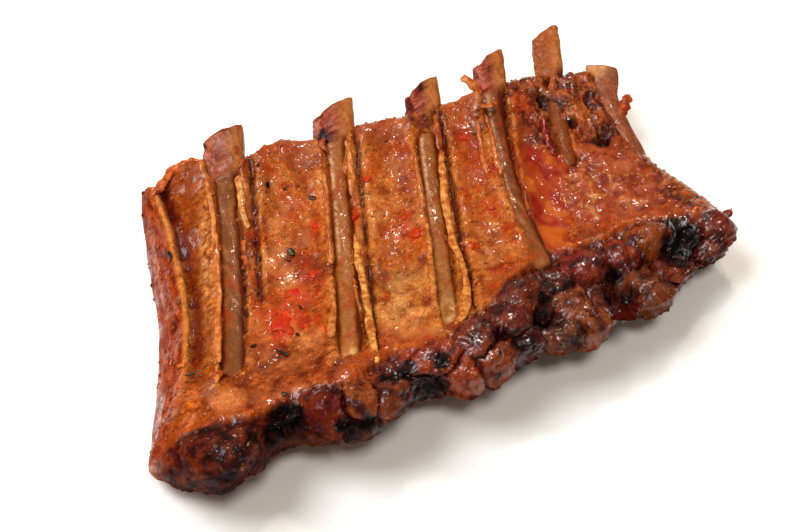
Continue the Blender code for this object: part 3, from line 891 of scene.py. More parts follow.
def paint_panels(paint, p, noise):
    """Hollow side between the bones: golden membrane, smears of glaze, browned borders."""
    x, y, _ = p.T
    coat = paint.coat
    broad, mid, fine = noise
    drawn = fbm(p * np.array([1, 0.35, 1]), 7, 3, 105)
    coat(smooth(-0.25, 0.35, broad), (166, 86, 42), 0.85)
    for cx, cy, wide, long, amount in GOLDEN:
        glow = bell(x - cx, wide) * bell(y - cy, long)
        coat(glow * smooth(-0.6, 0.25, mid + 0.4 * broad), (208, 138, 72), amount)
    coat(smooth(0, 0.45, drawn), (200, 126, 66), 0.5)
    coat(smooth(0.05, 0.45, -drawn + 0.3 * fine), (134, 58, 28), 0.6)
    coat(smooth(0.15, 0.5, -broad - 0.4 * mid), (112, 50, 26), 0.65)
    smear = fbm(p * np.array([1, 0.6, 1]), 12, 4, 104)
    coat(smooth(0.10, 0.36, smear), (160, 52, 22), 0.55)
    spots, _, pick = cells(p + 0.8 * mid[:, None], 4.2, 111)
    coat(smooth(0.42, 0.10, spots) * (pick > 0.76), (176, 38, 14), 0.7)
    coat(smooth(0.30, 0.12, spots) * (pick < 0.08), (46, 20, 11), 0.8)
    for cx, cy, size, _ in TOMATO:
        stain = bell(np.hypot(x - cx, y - cy) + 0.8 * mid, 1.9 * size) * smooth(-0.6, 0.3, fine)
        coat(stain, (196, 50, 20), 0.8)
    for cx, cy, wide, long, amount in GOLDEN[:2]:
        glow = bell(x - cx, wide) * bell(y - cy - 4, 0.7 * long) * smooth(-0.35, 0.3, drawn)
        coat(glow, (216, 152, 86), 0.75 * amount)
    coat(smooth(28, 50, y + 5 * mid), (146, 68, 36), 0.5)
    coat(smooth(40, 52, y + 3 * fine), (150, 64, 38), 0.6)
    corner = smooth(-34, -46, y + 5 * mid) * smooth(-48, -66, x + 6 * broad)
    coat(corner, (136, 62, 34), 0.8)
    coat(corner * smooth(0.05, 0.5, mid + 0.5 * fine), (178, 92, 50), 0.6)
    coat(corner * smooth(0.1, 0.5, -mid + 0.3 * fine), (84, 36, 20), 0.7)


def paint_strip(paint, p, masks, noise):
    """Wide end: fibrous red cut face, yellow rim, pale fat streak partly painted as a highlight, painted
    shade in the valley beside the first rib, painted highlight on the smooth bulge.
    """
    x, y, _ = p.T
    coat = paint.coat
    broad, mid, fine = noise
    edge = x - left_edge(y)
    strip = smooth(1, -1, x - rib_x(0, y) + 6.5) * masks["up"] * (1 - masks["chine"])
    coat(strip, (142, 68, 34), 0.75)
    coat(strip * smooth(0, 0.5, broad + mid), (116, 48, 25), 0.7)
    # Pale streak of fat beside the first rib's left lip, partly a painted highlight.
    pale = bell(x - rib_x(0, y) + 9.5 + mid, 2.3) * bell(y - 14, 24)
    coat(pale * smooth(-0.5, 0.3, fine), (216, 150, 92), 0.85)
    # Painted shade in the valley.
    valley = bell(edge - 5.2, 2.4) * strip * smooth(-42, -20, y)
    coat(valley * smooth(-0.7, 0.2, mid + 0.2), (96, 40, 21), 0.9)
    bulge = masks["smooth"] * masks["up"]
    coat(bulge, (176, 92, 48), 0.9)
    # Painted highlight on top of the smooth bulge.
    coat(bulge * bell(around(p, -114, -57, 33), 4.5), (208, 126, 66), 0.75)
    coat(masks["cut"], (146, 58, 32), 0.9)
    drawn = fbm(p * np.array([1, 0.3, 1]), 3, 3, 106)
    coat(masks["cut"] * smooth(0.05, 0.5, drawn), (188, 92, 56), 0.7)
    coat(masks["cut"] * smooth(0, 0.45, -drawn), (100, 34, 19), 0.7)
    stripe = line_distance(x, y, [(-122, -44), (-127, -58), (-131, -68)])
    coat(bell(stripe, 2.6) * smooth(-0.6, 0.2, fine), (206, 104, 40), 0.9)
    rim = bell(edge - 1.4, 1.3) * smooth(-44, -20, y) * masks["up"]
    coat(rim * smooth(-0.5, 0.2, mid + 0.3), (204, 132, 72), 0.85)


def paint_right(paint, p, masks, noise):
    """Narrow end: torn meat above, glazed film with fat lines, sauce beside the fourth bone."""
    x, y, _ = p.T
    coat = paint.coat
    broad, mid, fine = noise
    right = smooth(24, 44, x + 4 * broad) * (1 - masks["chine"]) * masks["up"]
    coat(right, (140, 58, 30), 0.8)
    coat(right * smooth(0, 0.5, mid), (176, 88, 42), 0.6)
    coat(right * smooth(0.1, 0.5, -mid), (96, 34, 18), 0.6)
    coat(masks["messy"], (112, 46, 26), 0.85)
    coat(masks["messy"] * smooth(0.1, 0.55, mid), (164, 78, 40), 0.75)
    coat(masks["messy"] * smooth(0.05, 0.5, -mid + 0.2), (52, 24, 14), 0.8)
    coat(bell(np.hypot(x - 43, y - 36), 6.5) * smooth(-0.6, 0.2, fine), (168, 60, 32), 0.75)
    coat(bell(np.hypot(x - 64, y - 24), 5), (196, 100, 48), 0.7)
    hem = smooth(-9, -3, x - right_edge(y)) * smooth(-30, -10, y) * masks["up"]
    coat(hem * smooth(-0.6, 0.3, mid), (140, 84, 66), 0.65)
    crust = masks["crust"]
    coat(crust, (112, 46, 27), 0.85)
    coat(crust * smooth(0.05, 0.5, mid), (166, 80, 42), 0.7)
    coat(crust * smooth(0.05, 0.45, -mid + 0.4 * fine), (60, 24, 15), 0.75)
    film = masks["film"]
    coat(film, (146, 60, 31), 0.9)
    coat(film * smooth(0, 0.4, broad + 0.6 * mid), (168, 86, 52), 0.8)
    coat(film * smooth(0.1, 0.5, -mid), (110, 36, 18), 0.75)
    for path in FAT_LINES:
        line = line_distance(x + 1.6 * mid, y + 0.7 * fine, path)
        thin = smooth(1, 0.3, line) * film * smooth(-0.5, 0.2, mid + 0.5 * fine)
        coat(thin, (194, 128, 70), 0.6)
    pool = masks["pool"]
    coat(pool, (158, 62, 25), 0.97)
    swirl = fbm(p * np.array([1, 0.6, 1]), 7, 3, 107)
    coat(pool * smooth(0, 0.3, swirl), (136, 34, 12), 0.85)
    coat(pool * smooth(0.15, 0.4, -swirl), (196, 98, 42), 0.7)
    coat(pool * smooth(9, 6, np.hypot(x - 22, y + 30) + 2 * mid), (190, 92, 38), 0.8)
    # Painted shade in the sauce beside the fourth bone.
    coat(pool * bell(x - rib_x(3, y) - 3.5, 2), (124, 46, 20), 0.7)


def paint_chine(paint, p, masks, noise, which):
    """Chine side: roasted muscles of several browns, with painted shade, near black, in the creases
    between them and darker towards the bottom.
    """
    x, y, z = p.T
    coat = paint.coat
    broad, mid, _ = noise
    chine = masks["chine"]
    browned = masks["browned"] * masks["up"] * (1 - chine)
    coat(browned * smooth(-0.5, 0.4, mid + 0.2), (150, 58, 26), 0.8)
    own = np.stack([srgb(*m[5]) for m in MUSCLES])[which]
    paint.c = paint.c + (own - paint.c) * (0.95 * chine)[:, None]
    knob = chine * smooth(-96, -110, x) * smooth(-66, -74, y)
    coat(knob, (88, 44, 32), 0.75)
    drawn = fbm(p * np.array([0.4, 1, 1]), 3.2, 3, 108)
    coat(knob * smooth(0, 0.4, drawn), (140, 70, 44), 0.6)
    coat(knob * smooth(0, 0.4, -drawn), (42, 20, 14), 0.7)
    coat(chine * smooth(0.05, 0.5, mid + 0.3 * broad), (152, 70, 38), 0.5)
    coat(chine * smooth(0, 0.4, -mid - 0.2 * broad), (40, 16, 10), 0.75)
    # Painted shade, darker towards the bottom of the chine side.
    coat(chine * smooth(20, 8, z), (44, 20, 13), 0.75)
    # Painted shade, near black, in the creases between the muscles.
    coat(masks["crease"], (12, 6, 4), 0.92)
    for cx, cy, cz, radius, color in CRISP:
        coat(bell(around(p, cx, cy, cz), radius) * smooth(-0.6, 0.2, mid), color, 1)


def hollow_shade_at(p):
    """How much painted shade, near black, the deep hollows get."""
    hollow_shade = np.zeros(len(p))
    for cx, cy, cz, radius, high in LUMPS + DETAILS:
        if high < 0:
            spot = bell(around(p, cx, cy, cz), radius * 1.15)
            hollow_shade = np.maximum(hollow_shade, spot * min(1, -high / 2.6))
    for cx, cy, radius, high in SWELLS:
        if high < -2.3:
            spot = bell(np.hypot(p[:, 0] - cx, p[:, 1] - cy), radius * 1.2)
            hollow_shade = np.maximum(hollow_shade, 0.9 * spot)
    return hollow_shade


def paint_meat(p, masks, pit, crack, n, which):
    """Colours and gloss of the meat."""
    x, y, z = p.T
    noise = (fbm(p, 15, 2, 101), fbm(p, 5, 3, 102), fbm(p, 1.7, 3, 103))
    broad, mid, fine = noise
    paint = Paint(len(p), (160, 70, 32))
    coat = paint.coat
    paint_panels(paint, p, noise)
    paint_strip(paint, p, masks, noise)
    paint_right(paint, p, masks, noise)
    coat(masks["lip"] * smooth(-0.3, 0.35, fine + mid), (206, 126, 56), 0.8)
    # Painted shade on the meat beside the bones.
    coat(masks["bone_side"], (112, 46, 22), 0.3)
    paint_chine(paint, p, masks, noise, which)
    hollow_shade = hollow_shade_at(p)
    # Painted shade, near black, in the deep pits and dents.
    coat(smooth(0.3, 0.6, hollow_shade + 0.16 * mid), (8, 5, 4), 0.98)
    wet = 1 - masks["pool"]
    # Painted shade along the grooves.
    for row in GROOVES:
        d, fade = beside(row, x, y)
        dark = fade * bell(d, row[5] * 1.3) * masks["up"] * wet
        coat(dark * smooth(-0.5, 0.2, fine + mid), (50, 20, 11), 0.8)
    # Painted shade in the hollows, deeper where a point lies further below its surroundings.
    coat(smooth(0.15, 0.8, pit) * wet, (40, 15, 9), 0.85)
    coat(masks["crud"] * smooth(-0.3, 0.2, -fine), (44, 18, 10), 0.75)
    coat(masks["crud"] * smooth(0.1, 0.5, fine + 0.5 * mid), (188, 100, 52), 0.6)
    # Painted shade in the fine hollows and a painted highlight on the fine bumps.
    coat(smooth(0.08, 0.35, crack) * wet, (96, 34, 14), 0.55)
    coat(smooth(0.06, 0.30, -crack) * (1 - masks["chine"]) * wet, (222, 134, 62), 0.35)
    under = smooth(0.5, -1.5, z - mid_height(y)) * (1 - masks["chine"])
    under = under * (1 - masks["cut"])
    coat(under, (126, 56, 30), 0.85)
    coat(under * smooth(0, 0.6, mid + 0.5 * broad), (92, 38, 22), 0.6)
    paint.shade(1 + 0.26 * fine * wet + 0.12 * mid)
    # The chine side is darkened, more at its left corner: painted shade on top of its own darker
    # colours.
    corner = masks["chine"] * smooth(-58, -84, x)
    paint.shade(1 - 0.28 * masks["chine"] - 0.12 * corner)
    gloss = 0.25 + 0.6 * masks["wet"] + 0.2 * masks["messy"] + 0.4 * masks["crust"]
    gloss += 0.45 * masks["chine"] + 0.4 * masks["crud"]
    gloss -= 0.4 * masks["strip"] * masks["up"] + 0.1 * masks["cut"]
    gloss = np.maximum(gloss, 0.85 * masks["film"])
    gloss = gloss + (0.5 - gloss) * masks["pool"]
    gloss -= 0.5 * smooth(0.4, 0.8, hollow_shade) + 0.6 * masks["crease"]
    gloss *= smooth(-0.3, 0.35, n[:, 2]) * (1 - 0.75 * corner)
    grainy = 0.95 - 0.4 * masks["wet"] * masks["up"] - 0.15 * masks["chine"]
    grainy = np.minimum(grainy, 1 - 0.8 * masks["pool"] - 0.6 * masks["film"])
    return paint.c, np.clip(gloss, 0, 1), np.clip(grainy, 0, 1)


# ---------------------------------------------------------------- pieces and materials
def to_part(points):
    return (np.asarray(points) + SHIFT) * MM


def linked(name, data):
    """Object of the scene that holds the data."""
    made = bpy.data.objects.new(name, data)
    bpy.context.scene.collection.objects.link(made)
    return made


def make_piece(name, points, faces, material, color, gloss, grainy):
    """Mesh piece with its colour, gloss and grain attributes, riding on the root body."""
    data = bpy.data.meshes.new(name)
    data.from_pydata(to_part(points).tolist(), [], faces)
    data.polygons.foreach_set("use_smooth", [True] * len(data.polygons))
    color = np.maximum(color * TONE - HAZE, color * 0.2)
    tint = data.color_attributes.new("tint", "FLOAT_COLOR", "POINT")
    rgba = np.concatenate([np.clip(color, 0, 1), np.ones((len(color), 1))], axis=1)
    tint.data.foreach_set("color", rgba.ravel())
    for label, values in (("gloss", gloss), ("grainy", grainy)):
        layer = data.attributes.new(label, "FLOAT", "POINT")
        layer.data.foreach_set("value", np.ascontiguousarray(values, dtype=np.float32))
    data.update()
    piece = linked(name, data)
    piece.data.materials.append(material)
    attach(piece, "root")
    return piece


def feed(tree, made, inputs):
    """Sets each input of a node, or links it where the value is a socket."""
    for label, value in inputs.items():
        if isinstance(value, bpy.types.NodeSocket):
            tree.links.new(value, made.inputs[label])
        else:
            made.inputs[label].default_value = value


def node(tree, kind, inputs, **settings):
    """New node with its settings made and its inputs fed."""
    made = tree.nodes.new(kind)
    for key, value in settings.items():
        setattr(made, key, value)
    feed(tree, made, inputs)
    return made


def food_material(name, dry, wet, grain, bump, scatter, coat):
    """Painted colour broken up by specks and granules, glaze over wavy relief.

    grain is the size of the granules and bump their height, in millimetres.
    """
    material = bpy.data.materials.new(name)
    material.use_nodes = True
    tree = material.node_tree
    shader = tree.nodes["Principled BSDF"]
    place = node(tree, "ShaderNodeTexCoord", {}).outputs["Object"]
    tint = node(tree, "ShaderNodeAttribute", {}, attribute_name="tint").outputs["Color"]
    gloss = node(tree, "ShaderNodeAttribute", {}, attribute_name="gloss").outputs["Fac"]
    keep = node(tree, "ShaderNodeAttribute", {}, attribute_name="grainy").outputs["Fac"]

    def noise(size, detail, rough):
        inputs = {"Scale": 1000 / size, "Detail": detail, "Roughness": rough, "Vector": place}
        return node(tree, "ShaderNodeTexNoise", inputs).outputs["Fac"]

    def spread(value, low, high, to_low, to_high):
        inputs = {"Value": value, "From Min": low, "From Max": high, "To Min": to_low, "To Max": to_high}
        return node(tree, "ShaderNodeMapRange", inputs).outputs["Result"]

    def times(first, second):
        return node(tree, "ShaderNodeMath", {0: first, 1: second}, operation="MULTIPLY").outputs["Value"]

    def plus(first, second):
        return node(tree, "ShaderNodeMath", {0: first, 1: second}, operation="ADD").outputs["Value"]

    def mixed(kind, share, under, over):
        inputs = {"Factor": share, "A": under, "B": over}
        return node(tree, "ShaderNodeMix", inputs, data_type="RGBA", blend_type=kind).outputs["Result"]

    def turned(color, hue, saturation, value):
        inputs = {"Hue": hue, "Saturation": saturation, "Value": value, "Color": color}
        return node(tree, "ShaderNodeHueSaturation", inputs).outputs["Color"]

    def relief(depth, strength, height):
        inputs = {"Distance": depth * MM, "Strength": strength, "Height": height}
        return node(tree, "ShaderNodeBump", inputs).outputs["Normal"]

    mottle = spread(noise(1.8, 4, 0.7), 0.32, 0.68, 0.60, 1.46)
    color = mixed("MULTIPLY", times(keep, 0.9), tint, mottle)
    color = mixed("MULTIPLY", keep, color, spread(noise(0.62, 1, 0.5), 0.3, 0.7, 0.70, 1.32))
    dark = spread(noise(0.9, 2, 0.5), 0.60, 0.70, 0, 0.6)
    color = mixed("MIX", times(dark, keep), color, (0.060, 0.012, 0.004, 1))
    red = spread(noise(1.7, 3, 0.6), 0.58, 0.68, 0, 0.5)
    color = mixed("MIX", times(red, keep), color, turned(color, 0.482, 1.15, 0.8))
    inputs = {"Scale": 1000 / grain, "Vector": place}
    cell = node(tree, "ShaderNodeTexVoronoi", inputs, feature="F1")
    crumb = times(spread(cell.outputs["Distance"], 0.18, 0.36, 1, 0),
                  spread(cell.outputs["Color"], 0.60, 0.66, 0, 1))
    share = times(times(crumb, keep), 0.7)
    color = mixed("MIX", share, color, turned(color, 0.512, 0.92, 1.55))

    rough = spread(gloss, 0, 1, dry, wet)
    patch = spread(noise(3.6, 3, 0.55), 0.35, 0.65, -0.14, 0.14)
    grit = plus(noise(1.9, 3, 0.6), times(noise(0.8, 2, 0.5), 0.6))
    grit = plus(grit, times(crumb, 0.5))
    waves = plus(noise(3, 0, 0.5), times(noise(1.3, 0, 0.5), 0.22))
    coated = times(spread(noise(2.8, 2, 0.5), 0.42, 0.54, 0.15, 1), coat)
    feed(tree, shader, {
        "Base Color": color,
        "Roughness": plus(rough, times(patch, keep)),
        "Normal": relief(bump, spread(keep, 0, 1, 0.03, 1), grit),
        "Coat Normal": relief(1.7 * bump, spread(keep, 0, 1, 0.7, 0.9), waves),
        "Coat Weight": times(coated, gloss),
        "Coat Roughness": 0.04,
        "Coat IOR": 1.45,
        "Specular IOR Level": spread(gloss, 0, 1, 0.02, 0.2),
        "Subsurface Weight": scatter,
        "Subsurface Radius": (0.9, 0.35, 0.18),
        "Subsurface Scale": 0.002,
    })
    return material


# ---------------------------------------------------------------- bones
def tube_faces(count, sides):
    """Point numbers of rings in a tube, those of their neighbours, and the quads between rings."""
    ids = np.arange(count * sides).reshape(count, sides)
    beyond = np.roll(ids, -1, axis=1)
    quads = np.stack([ids[:-1], ids[1:], beyond[1:], beyond[:-1]], -1)
    return ids, beyond, quads.reshape(-1, 4).tolist()


def bone_mesh(i):
    """One bone: level slices, a wedge-shaped sawn tip with a scraped left facet, a buried root."""
    tip, root, shaft, wide, half_high, sink, slant, bevel = RIBS[i][3:]
    rings, sides = BONE_RINGS, BONE_SIDES
    t = np.linspace(0, 1, rings)
    y = root + (tip - root) * t
    start = np.clip((y - root) / 9, 0, 1)
    taper = 0.35 + 0.65 * np.sqrt(start * (2 - start))
    tipness = smooth(TIP_FROM, TIP_FULL, y)[:, None]
    half = (shaft + (wide - shaft) * tipness[:, 0]) * taper
    high = half_high * (0.45 + 0.55 * taper)
    angle = np.linspace(0, 2 * math.pi, sides, endpoint=False)
    c = np.cos(angle)
    s = np.sin(angle)
    power = 0.85 - 0.45 * tipness
    across = np.sign(c) * np.abs(c) ** power
    up = np.sign(s) * np.abs(s) ** power
    wedge = 0.18 * across - 0.45 * np.maximum(0, 0.15 - across)
    up = up * (1 + tipness * wedge * (up > 0))
    x0 = rib_x(i, y)
    z0 = arch(y) - sink - half_high
    x = x0[:, None] + half[:, None] * across
    z = z0[:, None] + high[:, None] * up
    back = 0.5 * (abs(slant) - slant * across) + bevel * np.maximum(0, -across - 0.1)
    yy = y[:, None] - back * smooth(tip - 12 - abs(slant), tip, y)[:, None]
    p = np.stack([x, yy, z], axis=-1)
    out = np.stack([x - x0[:, None], 0 * x, z - z0[:, None]], axis=-1)
    out = unit(out, 0.1)
    grain = 0.24 * fbm(p * np.array([1, 0.35, 1]), 5, 3, 201 + i)
    grain += 0.12 * (ridged(p * np.array([1, 0.12, 1]), 1.8, 2, 206 + i) - 0.5)
    grain += 0.3 * tipness * fbm(p, 4, 3, 211 + i)
    scraped = tipness * np.clip(0.3 - across, 0, 1)
    grain += scraped * fbm(p * np.array([1, 0.6, 1]), 2.6, 3, 221 + i)
    p = p + out * grain[..., None]
    saw = 0.8 * fbm(p * np.array([1, 0.2, 1]), 4, 3, 231 + i)
    p[..., 1] += saw * smooth(tip - 3, tip, y)[:, None]
    inner = []
    centre = p[-1].mean(0)
    for k in range(8):
        share = 0.97 - 0.97 * k / 8
        ring = centre + (p[-1] - centre) * share
        ring[:, 1] += 0.1 - 0.8 * (1 - share ** 2) + 0.35 * fbm(ring, 2.2, 3, 251 + i)
        inner.append(ring)
    all_rings = np.concatenate([p, np.array(inner)])
    count = len(all_rings)
    points = np.concatenate([all_rings.reshape(-1, 3), all_rings[-1].mean(0)[None], p[0].mean(0)[None]])
    ids, beyond, faces = tube_faces(count, sides)
    end = count * sides
    faces += [(int(a), end, int(b)) for a, b in zip(ids[-1], beyond[-1])]
    faces += [(int(b), end + 1, int(a)) for a, b in zip(ids[0], beyond[0])]
    sawn = np.zeros(len(points))
    sawn[(rings - 1) * sides:count * sides + 1] = 1
    return points, faces, sawn


def paint_bone(i, p, sawn):
    """Tan bone under a thin glaze, with painted shade on both its sides and, on the second to fourth
    bones, a painted highlight along the left edge; redder and rougher at its sawn end.
    """
    x, y, _ = p.T
    dx = (x - rib_x(i, y)) / RIBS[i][5]
    streak = fbm(p * np.array([1, 0.12, 1]), 2, 3, 301 + i)
    mid = fbm(p, 6, 3, 311 + i)
    fine = fbm(p, 1.3, 3, 321 + i)
    paint = Paint(len(p), BONE_TONES[i])
    coat = paint.coat
    coat(smooth(-0.1, 0.5, streak), (176, 112, 62), 0.35)
    coat(smooth(0.1, 0.5, -streak), (112, 58, 30), 0.4)
    coat(smooth(0, 0.5, mid), (150, 72, 34), 0.5)
    low = smooth(4, -24, y)
    coat(low, (112, 68, 44) if i == 0 else (154, 98, 56), 0.6 if i in (0, 1, 2) else 0.1)
    if i in (1, 2):
        root = bell(np.hypot(dx, (y + 52) / 7), 0.9) * smooth(-0.6, 0.1, mid)
        coat(root, (216, 166, 100) if i == 1 else (224, 188, 132), 0.85)
    # Painted highlight: a pale strip along the left edge of the second to fourth bones.
    painted_highlight = bell(dx + 0.40, 0.13) * smooth(-12, 4, y) * (i in (1, 2, 3))
    coat(painted_highlight * smooth(-0.5, 0.2, fine), (214, 168, 124), 0.8)
    smear = smooth(0.10, 0.4, fbm(p, 9, 3, 331 + i))
    coat(smear, (150, 56, 24), 0.6)
    # Painted shade on both sides of the bone, heavier on the right.
    coat(smooth(0.32, 0.62, dx + 0.12 * mid), (78, 31, 16), 0.8)
    coat(smooth(0.48, 0.70, -dx - 0.12 * mid), (96, 40, 20), 0.6)
    out = smooth(44, 49, y)
    coat(out, (138, 72, 42) if i == 0 else (158, 86, 48), 0.85)
    coat(out * smooth(0.2, 0.6, dx) * smooth(-0.5, 0.3, streak), (182, 112, 60), 0.7)
    left = out * smooth(0.25, -0.05, dx + 0.25 * mid)
    if i == 0:
        coat(left, (146, 72, 46), 0.7)
        coat(left * smooth(0, 0.5, fine + mid), (172, 98, 68), 0.6)
        coat(left * smooth(0, 0.4, -mid - 0.4 * fine), (112, 42, 26), 0.75)
    elif i < 4:
        coat(left, (132, 50, 38), 0.9)
        coat(left * smooth(0, 0.4, fine + mid), (184, 104, 84), 0.6)
        coat(left * smooth(0, 0.4, -mid - 0.4 * fine), (70, 24, 20), 0.8)
    else:
        coat(left * smooth(-0.2, 0.5, mid), (140, 66, 38), 0.6)
    for pit_rib, px, py, radius in BONE_PITS:
        if pit_rib == i:
            spot = np.hypot(x - px, y - py) / radius + 0.5 * fine
            coat(smooth(1.2, 0.8, spot), (18, 10, 8), 0.95)
    if i == 4:
        coat(smooth(40, 30, y), (112, 56, 28), 0.7)
    if i == 5:
        coat(smooth(44, 36, y + 2 * mid), (124, 68, 48), 0.9)
        coat(smooth(40, 30, y) * smooth(0, 0.4, mid + fine), (166, 96, 66), 0.7)
        coat(smooth(36, 43, y + 2 * mid), (190, 132, 74), 0.8)
    coat(sawn, (146, 74, 44), 0.8)
    coat(sawn * smooth(-0.2, 0.4, fine), (104, 44, 28), 0.7)
    paint.shade(1 + 0.14 * fine)
    gloss = 0.5 + 0.35 * smooth(-0.3, 0.5, mid) - 0.2 * left - 0.25 * sawn
    grainy = 0.55 + 0.35 * left
    return paint.c, np.clip(gloss, 0, 1), grainy


# ---------------------------------------------------------------- toppings
class Surface:
    """Finds the outer skin of the slab below a place in plan."""

    def __init__(self, points, normals, masks):
        self.normals = normals
        self.tree = KDTree(len(points))
        for k in np.flatnonzero(masks["up"] + masks["chine"] > 0.3):
            self.tree.insert(points[k].tolist(), int(k))
        self.tree.balance()

    def above(self, x, y):
        """Skin point and normal of the hollow side over a place in plan."""
        z = float(hollow_side(np.array([x], float), np.array([y], float))[0])
        for _ in range(2):
            spot, k, _ = self.tree.find((x, y, z))
            z = spot[2]
        return np.array([x, y, z]), self.normals[k]


class Heap:
    """Collects many small closed bodies into one mesh."""

    def __init__(self):
        self.points = []
        self.faces = []
        self.colors = []
        self.gloss = []
        self.count = 0

    def add(self, points, faces, color, gloss):
        self.faces += [tuple(k + self.count for k in f) for f in faces]
        self.points.append(points)
        self.colors.append(np.clip(color, 0, 1))
        self.gloss.append(np.full(len(points), gloss))
        self.count += len(points)

    def piece(self, name, material, grainy):
        points = np.concatenate(self.points)
        make_piece(name, points, self.faces, material, np.concatenate(self.colors),
                   np.concatenate(self.gloss), np.full(len(points), grainy))


def ball(detail):
    """Unit icosphere."""
    mesh = bmesh.new()
    bmesh.ops.create_icosphere(mesh, subdivisions=detail, radius=1)
    points = np.array([v.co[:] for v in mesh.verts])
    faces = [tuple(v.index for v in f.verts) for f in mesh.faces]
    mesh.free()
    return points, faces


def frame_of(normal, rng):
    """Random axes square to a normal."""
    guess = rng.normal(size=3)
    a = guess - normal * (guess @ normal)
    a /= np.linalg.norm(a)
    return np.stack([a, np.cross(normal, a), normal])


def strand(path, radii, flat, seed, sides=12, step=0.5, rough=0.2):
    """Closed ribbon or rope along a smoothed path; flat squashes it along its own normal."""
    path = np.array(path, dtype=float)
    radii = np.array(radii, dtype=float)
    gaps = np.linalg.norm(np.diff(path, axis=0), axis=1)
    s = np.concatenate([[0], np.cumsum(gaps)])
    count = max(6, int(s[-1] / step))
    t = np.linspace(0, s[-1], count)
    line = np.stack([np.interp(t, s, path[:, k]) for k in range(3)], axis=1)
    for _ in range(max(2, int(3 / step))):
        line[1:-1] = 0.5 * line[1:-1] + 0.25 * (line[:-2] + line[2:])
    line[1:-1] += 0.5 * drift(line[1:-1], 11, seed)
    r = np.interp(t, s, radii) * (1 + 0.35 * fbm(line, 7, 2, seed + 5))
    end = np.minimum(t, s[-1] - t) / np.maximum(0.4, 2.5 * radii.mean())
    r = r * np.sqrt(np.clip(1 - (1 - np.clip(end, 0, 1)) ** 2, 0.02, 1))
    way = unit(np.gradient(line, axis=0))
    side = unit(np.cross(way, np.array([0, 0, 1])), 1e-6)
    up = np.cross(side, way)
    angle = np.linspace(0, 2 * math.pi, sides, endpoint=False)
    ring = (side[:, None] * np.cos(angle)[None, :, None]
            + up[:, None] * (flat * np.sin(angle))[None, :, None])
    ring = ring * r[:, None, None]
    noise = 1 + rough * 2 * fbm(line[:, None] + ring, 2.6, 2, seed)[..., None]
    points = line[:, None] + ring * noise
    ids, _, faces = tube_faces(count, sides)
    faces.append(tuple(int(k) for k in ids[0]))
    faces.append(tuple(int(k) for k in ids[-1][::-1]))
    return points.reshape(-1, 3), faces


def mixed_tint(points, low, high, seed):
    share = smooth(-0.45, 0.45, fbm(points, 2.4, 3, seed))[:, None]
    return srgb(*low)[None] * (1 - share) + srgb(*high)[None] * share


def add_shreds(skin, material):
    """Strings of membrane and fat beside the bones, torn flaps at the edges."""
    heap = Heap()
    for seed, (rib, stops, radius, low, high) in enumerate(STRINGS):
        path = []
        for y, offset, lift in stops:
            x = float(rib_x(rib, np.array(y))) + offset
            spot, _ = skin.above(x, y)
            path.append(spot + np.array([0, 0, lift]))
        radii = [1.3 * radius * (0.8 + 0.4 * ((k * 7) % 5) / 4) for k in range(len(path))]
        points, faces = strand(path, radii, 0.5, 400 + seed, rough=0.08)
        heap.add(points, faces, mixed_tint(points, low, high, 450 + seed), 0.65)
    for seed, (stops, radius, flat, low, high) in enumerate(FLAPS):
        places = np.linspace(0, 1, len(stops))
        radii = [radius * k for k in np.interp(places, (0, 0.5, 1), (0.8, 1, 0.45))]
        points, faces = strand(stops, radii, flat, 500 + seed, sides=16, rough=0.3)
        heap.add(points, faces, mixed_tint(points, low, high, 550 + seed), 0.6)
    heap.piece("membrane_shreds", material, 0.6)


def add_herbs(skin, material, rng):
    """Dark dried leaves and cracked pepper."""
    heap = Heap()
    base, faces = ball(2)
    for seed, (x, y, long, wide, color) in enumerate(LEAVES):
        spot, normal = skin.above(x, y)
        axes = frame_of(normal, rng)
        shape = base * np.array([0.85 * long, 0.85 * wide, 0.28])
        shape[:, 2] += 0.5 * (shape[:, 0] / long) ** 2
        shape *= (1 + 0.5 * fbm(shape + 9 * seed, 1.6, 3, 600 + seed))[:, None]
        points = spot + normal * 0.3 + shape @ axes
        heap.add(points, faces, mixed_tint(points, color, (66, 48, 34), 610 + seed), 0.5)
    heap.piece("herbs", material, 0.7)


def add_tomato(skin, material, rng):
    """Soft bits of tomato and chilli, nearly flat on the meat."""
    heap = Heap()
    base, faces = ball(3)
    for seed, (x, y, size, color) in enumerate(TOMATO):
        spot, normal = skin.above(x, y)
        axes = frame_of(normal, rng)
        shape = base * np.array([1, 0.75, 0.16]) * size
        shape *= (1 + 1.3 * fbm(shape + 9 * seed, 1.1 * size, 3, 640 + seed))[:, None]
        points = spot + normal * 0.04 * size + shape @ axes
        heap.add(points, faces, mixed_tint(points, color, (186, 66, 30), 650 + seed), 0.35)
    heap.piece("tomato_bits", material, 0.5)


def picked_places(weight, count, rng):
    """Numbers of different points of the slab, drawn by weight."""
    return rng.choice(len(weight), size=count, replace=False, p=weight / weight.sum())


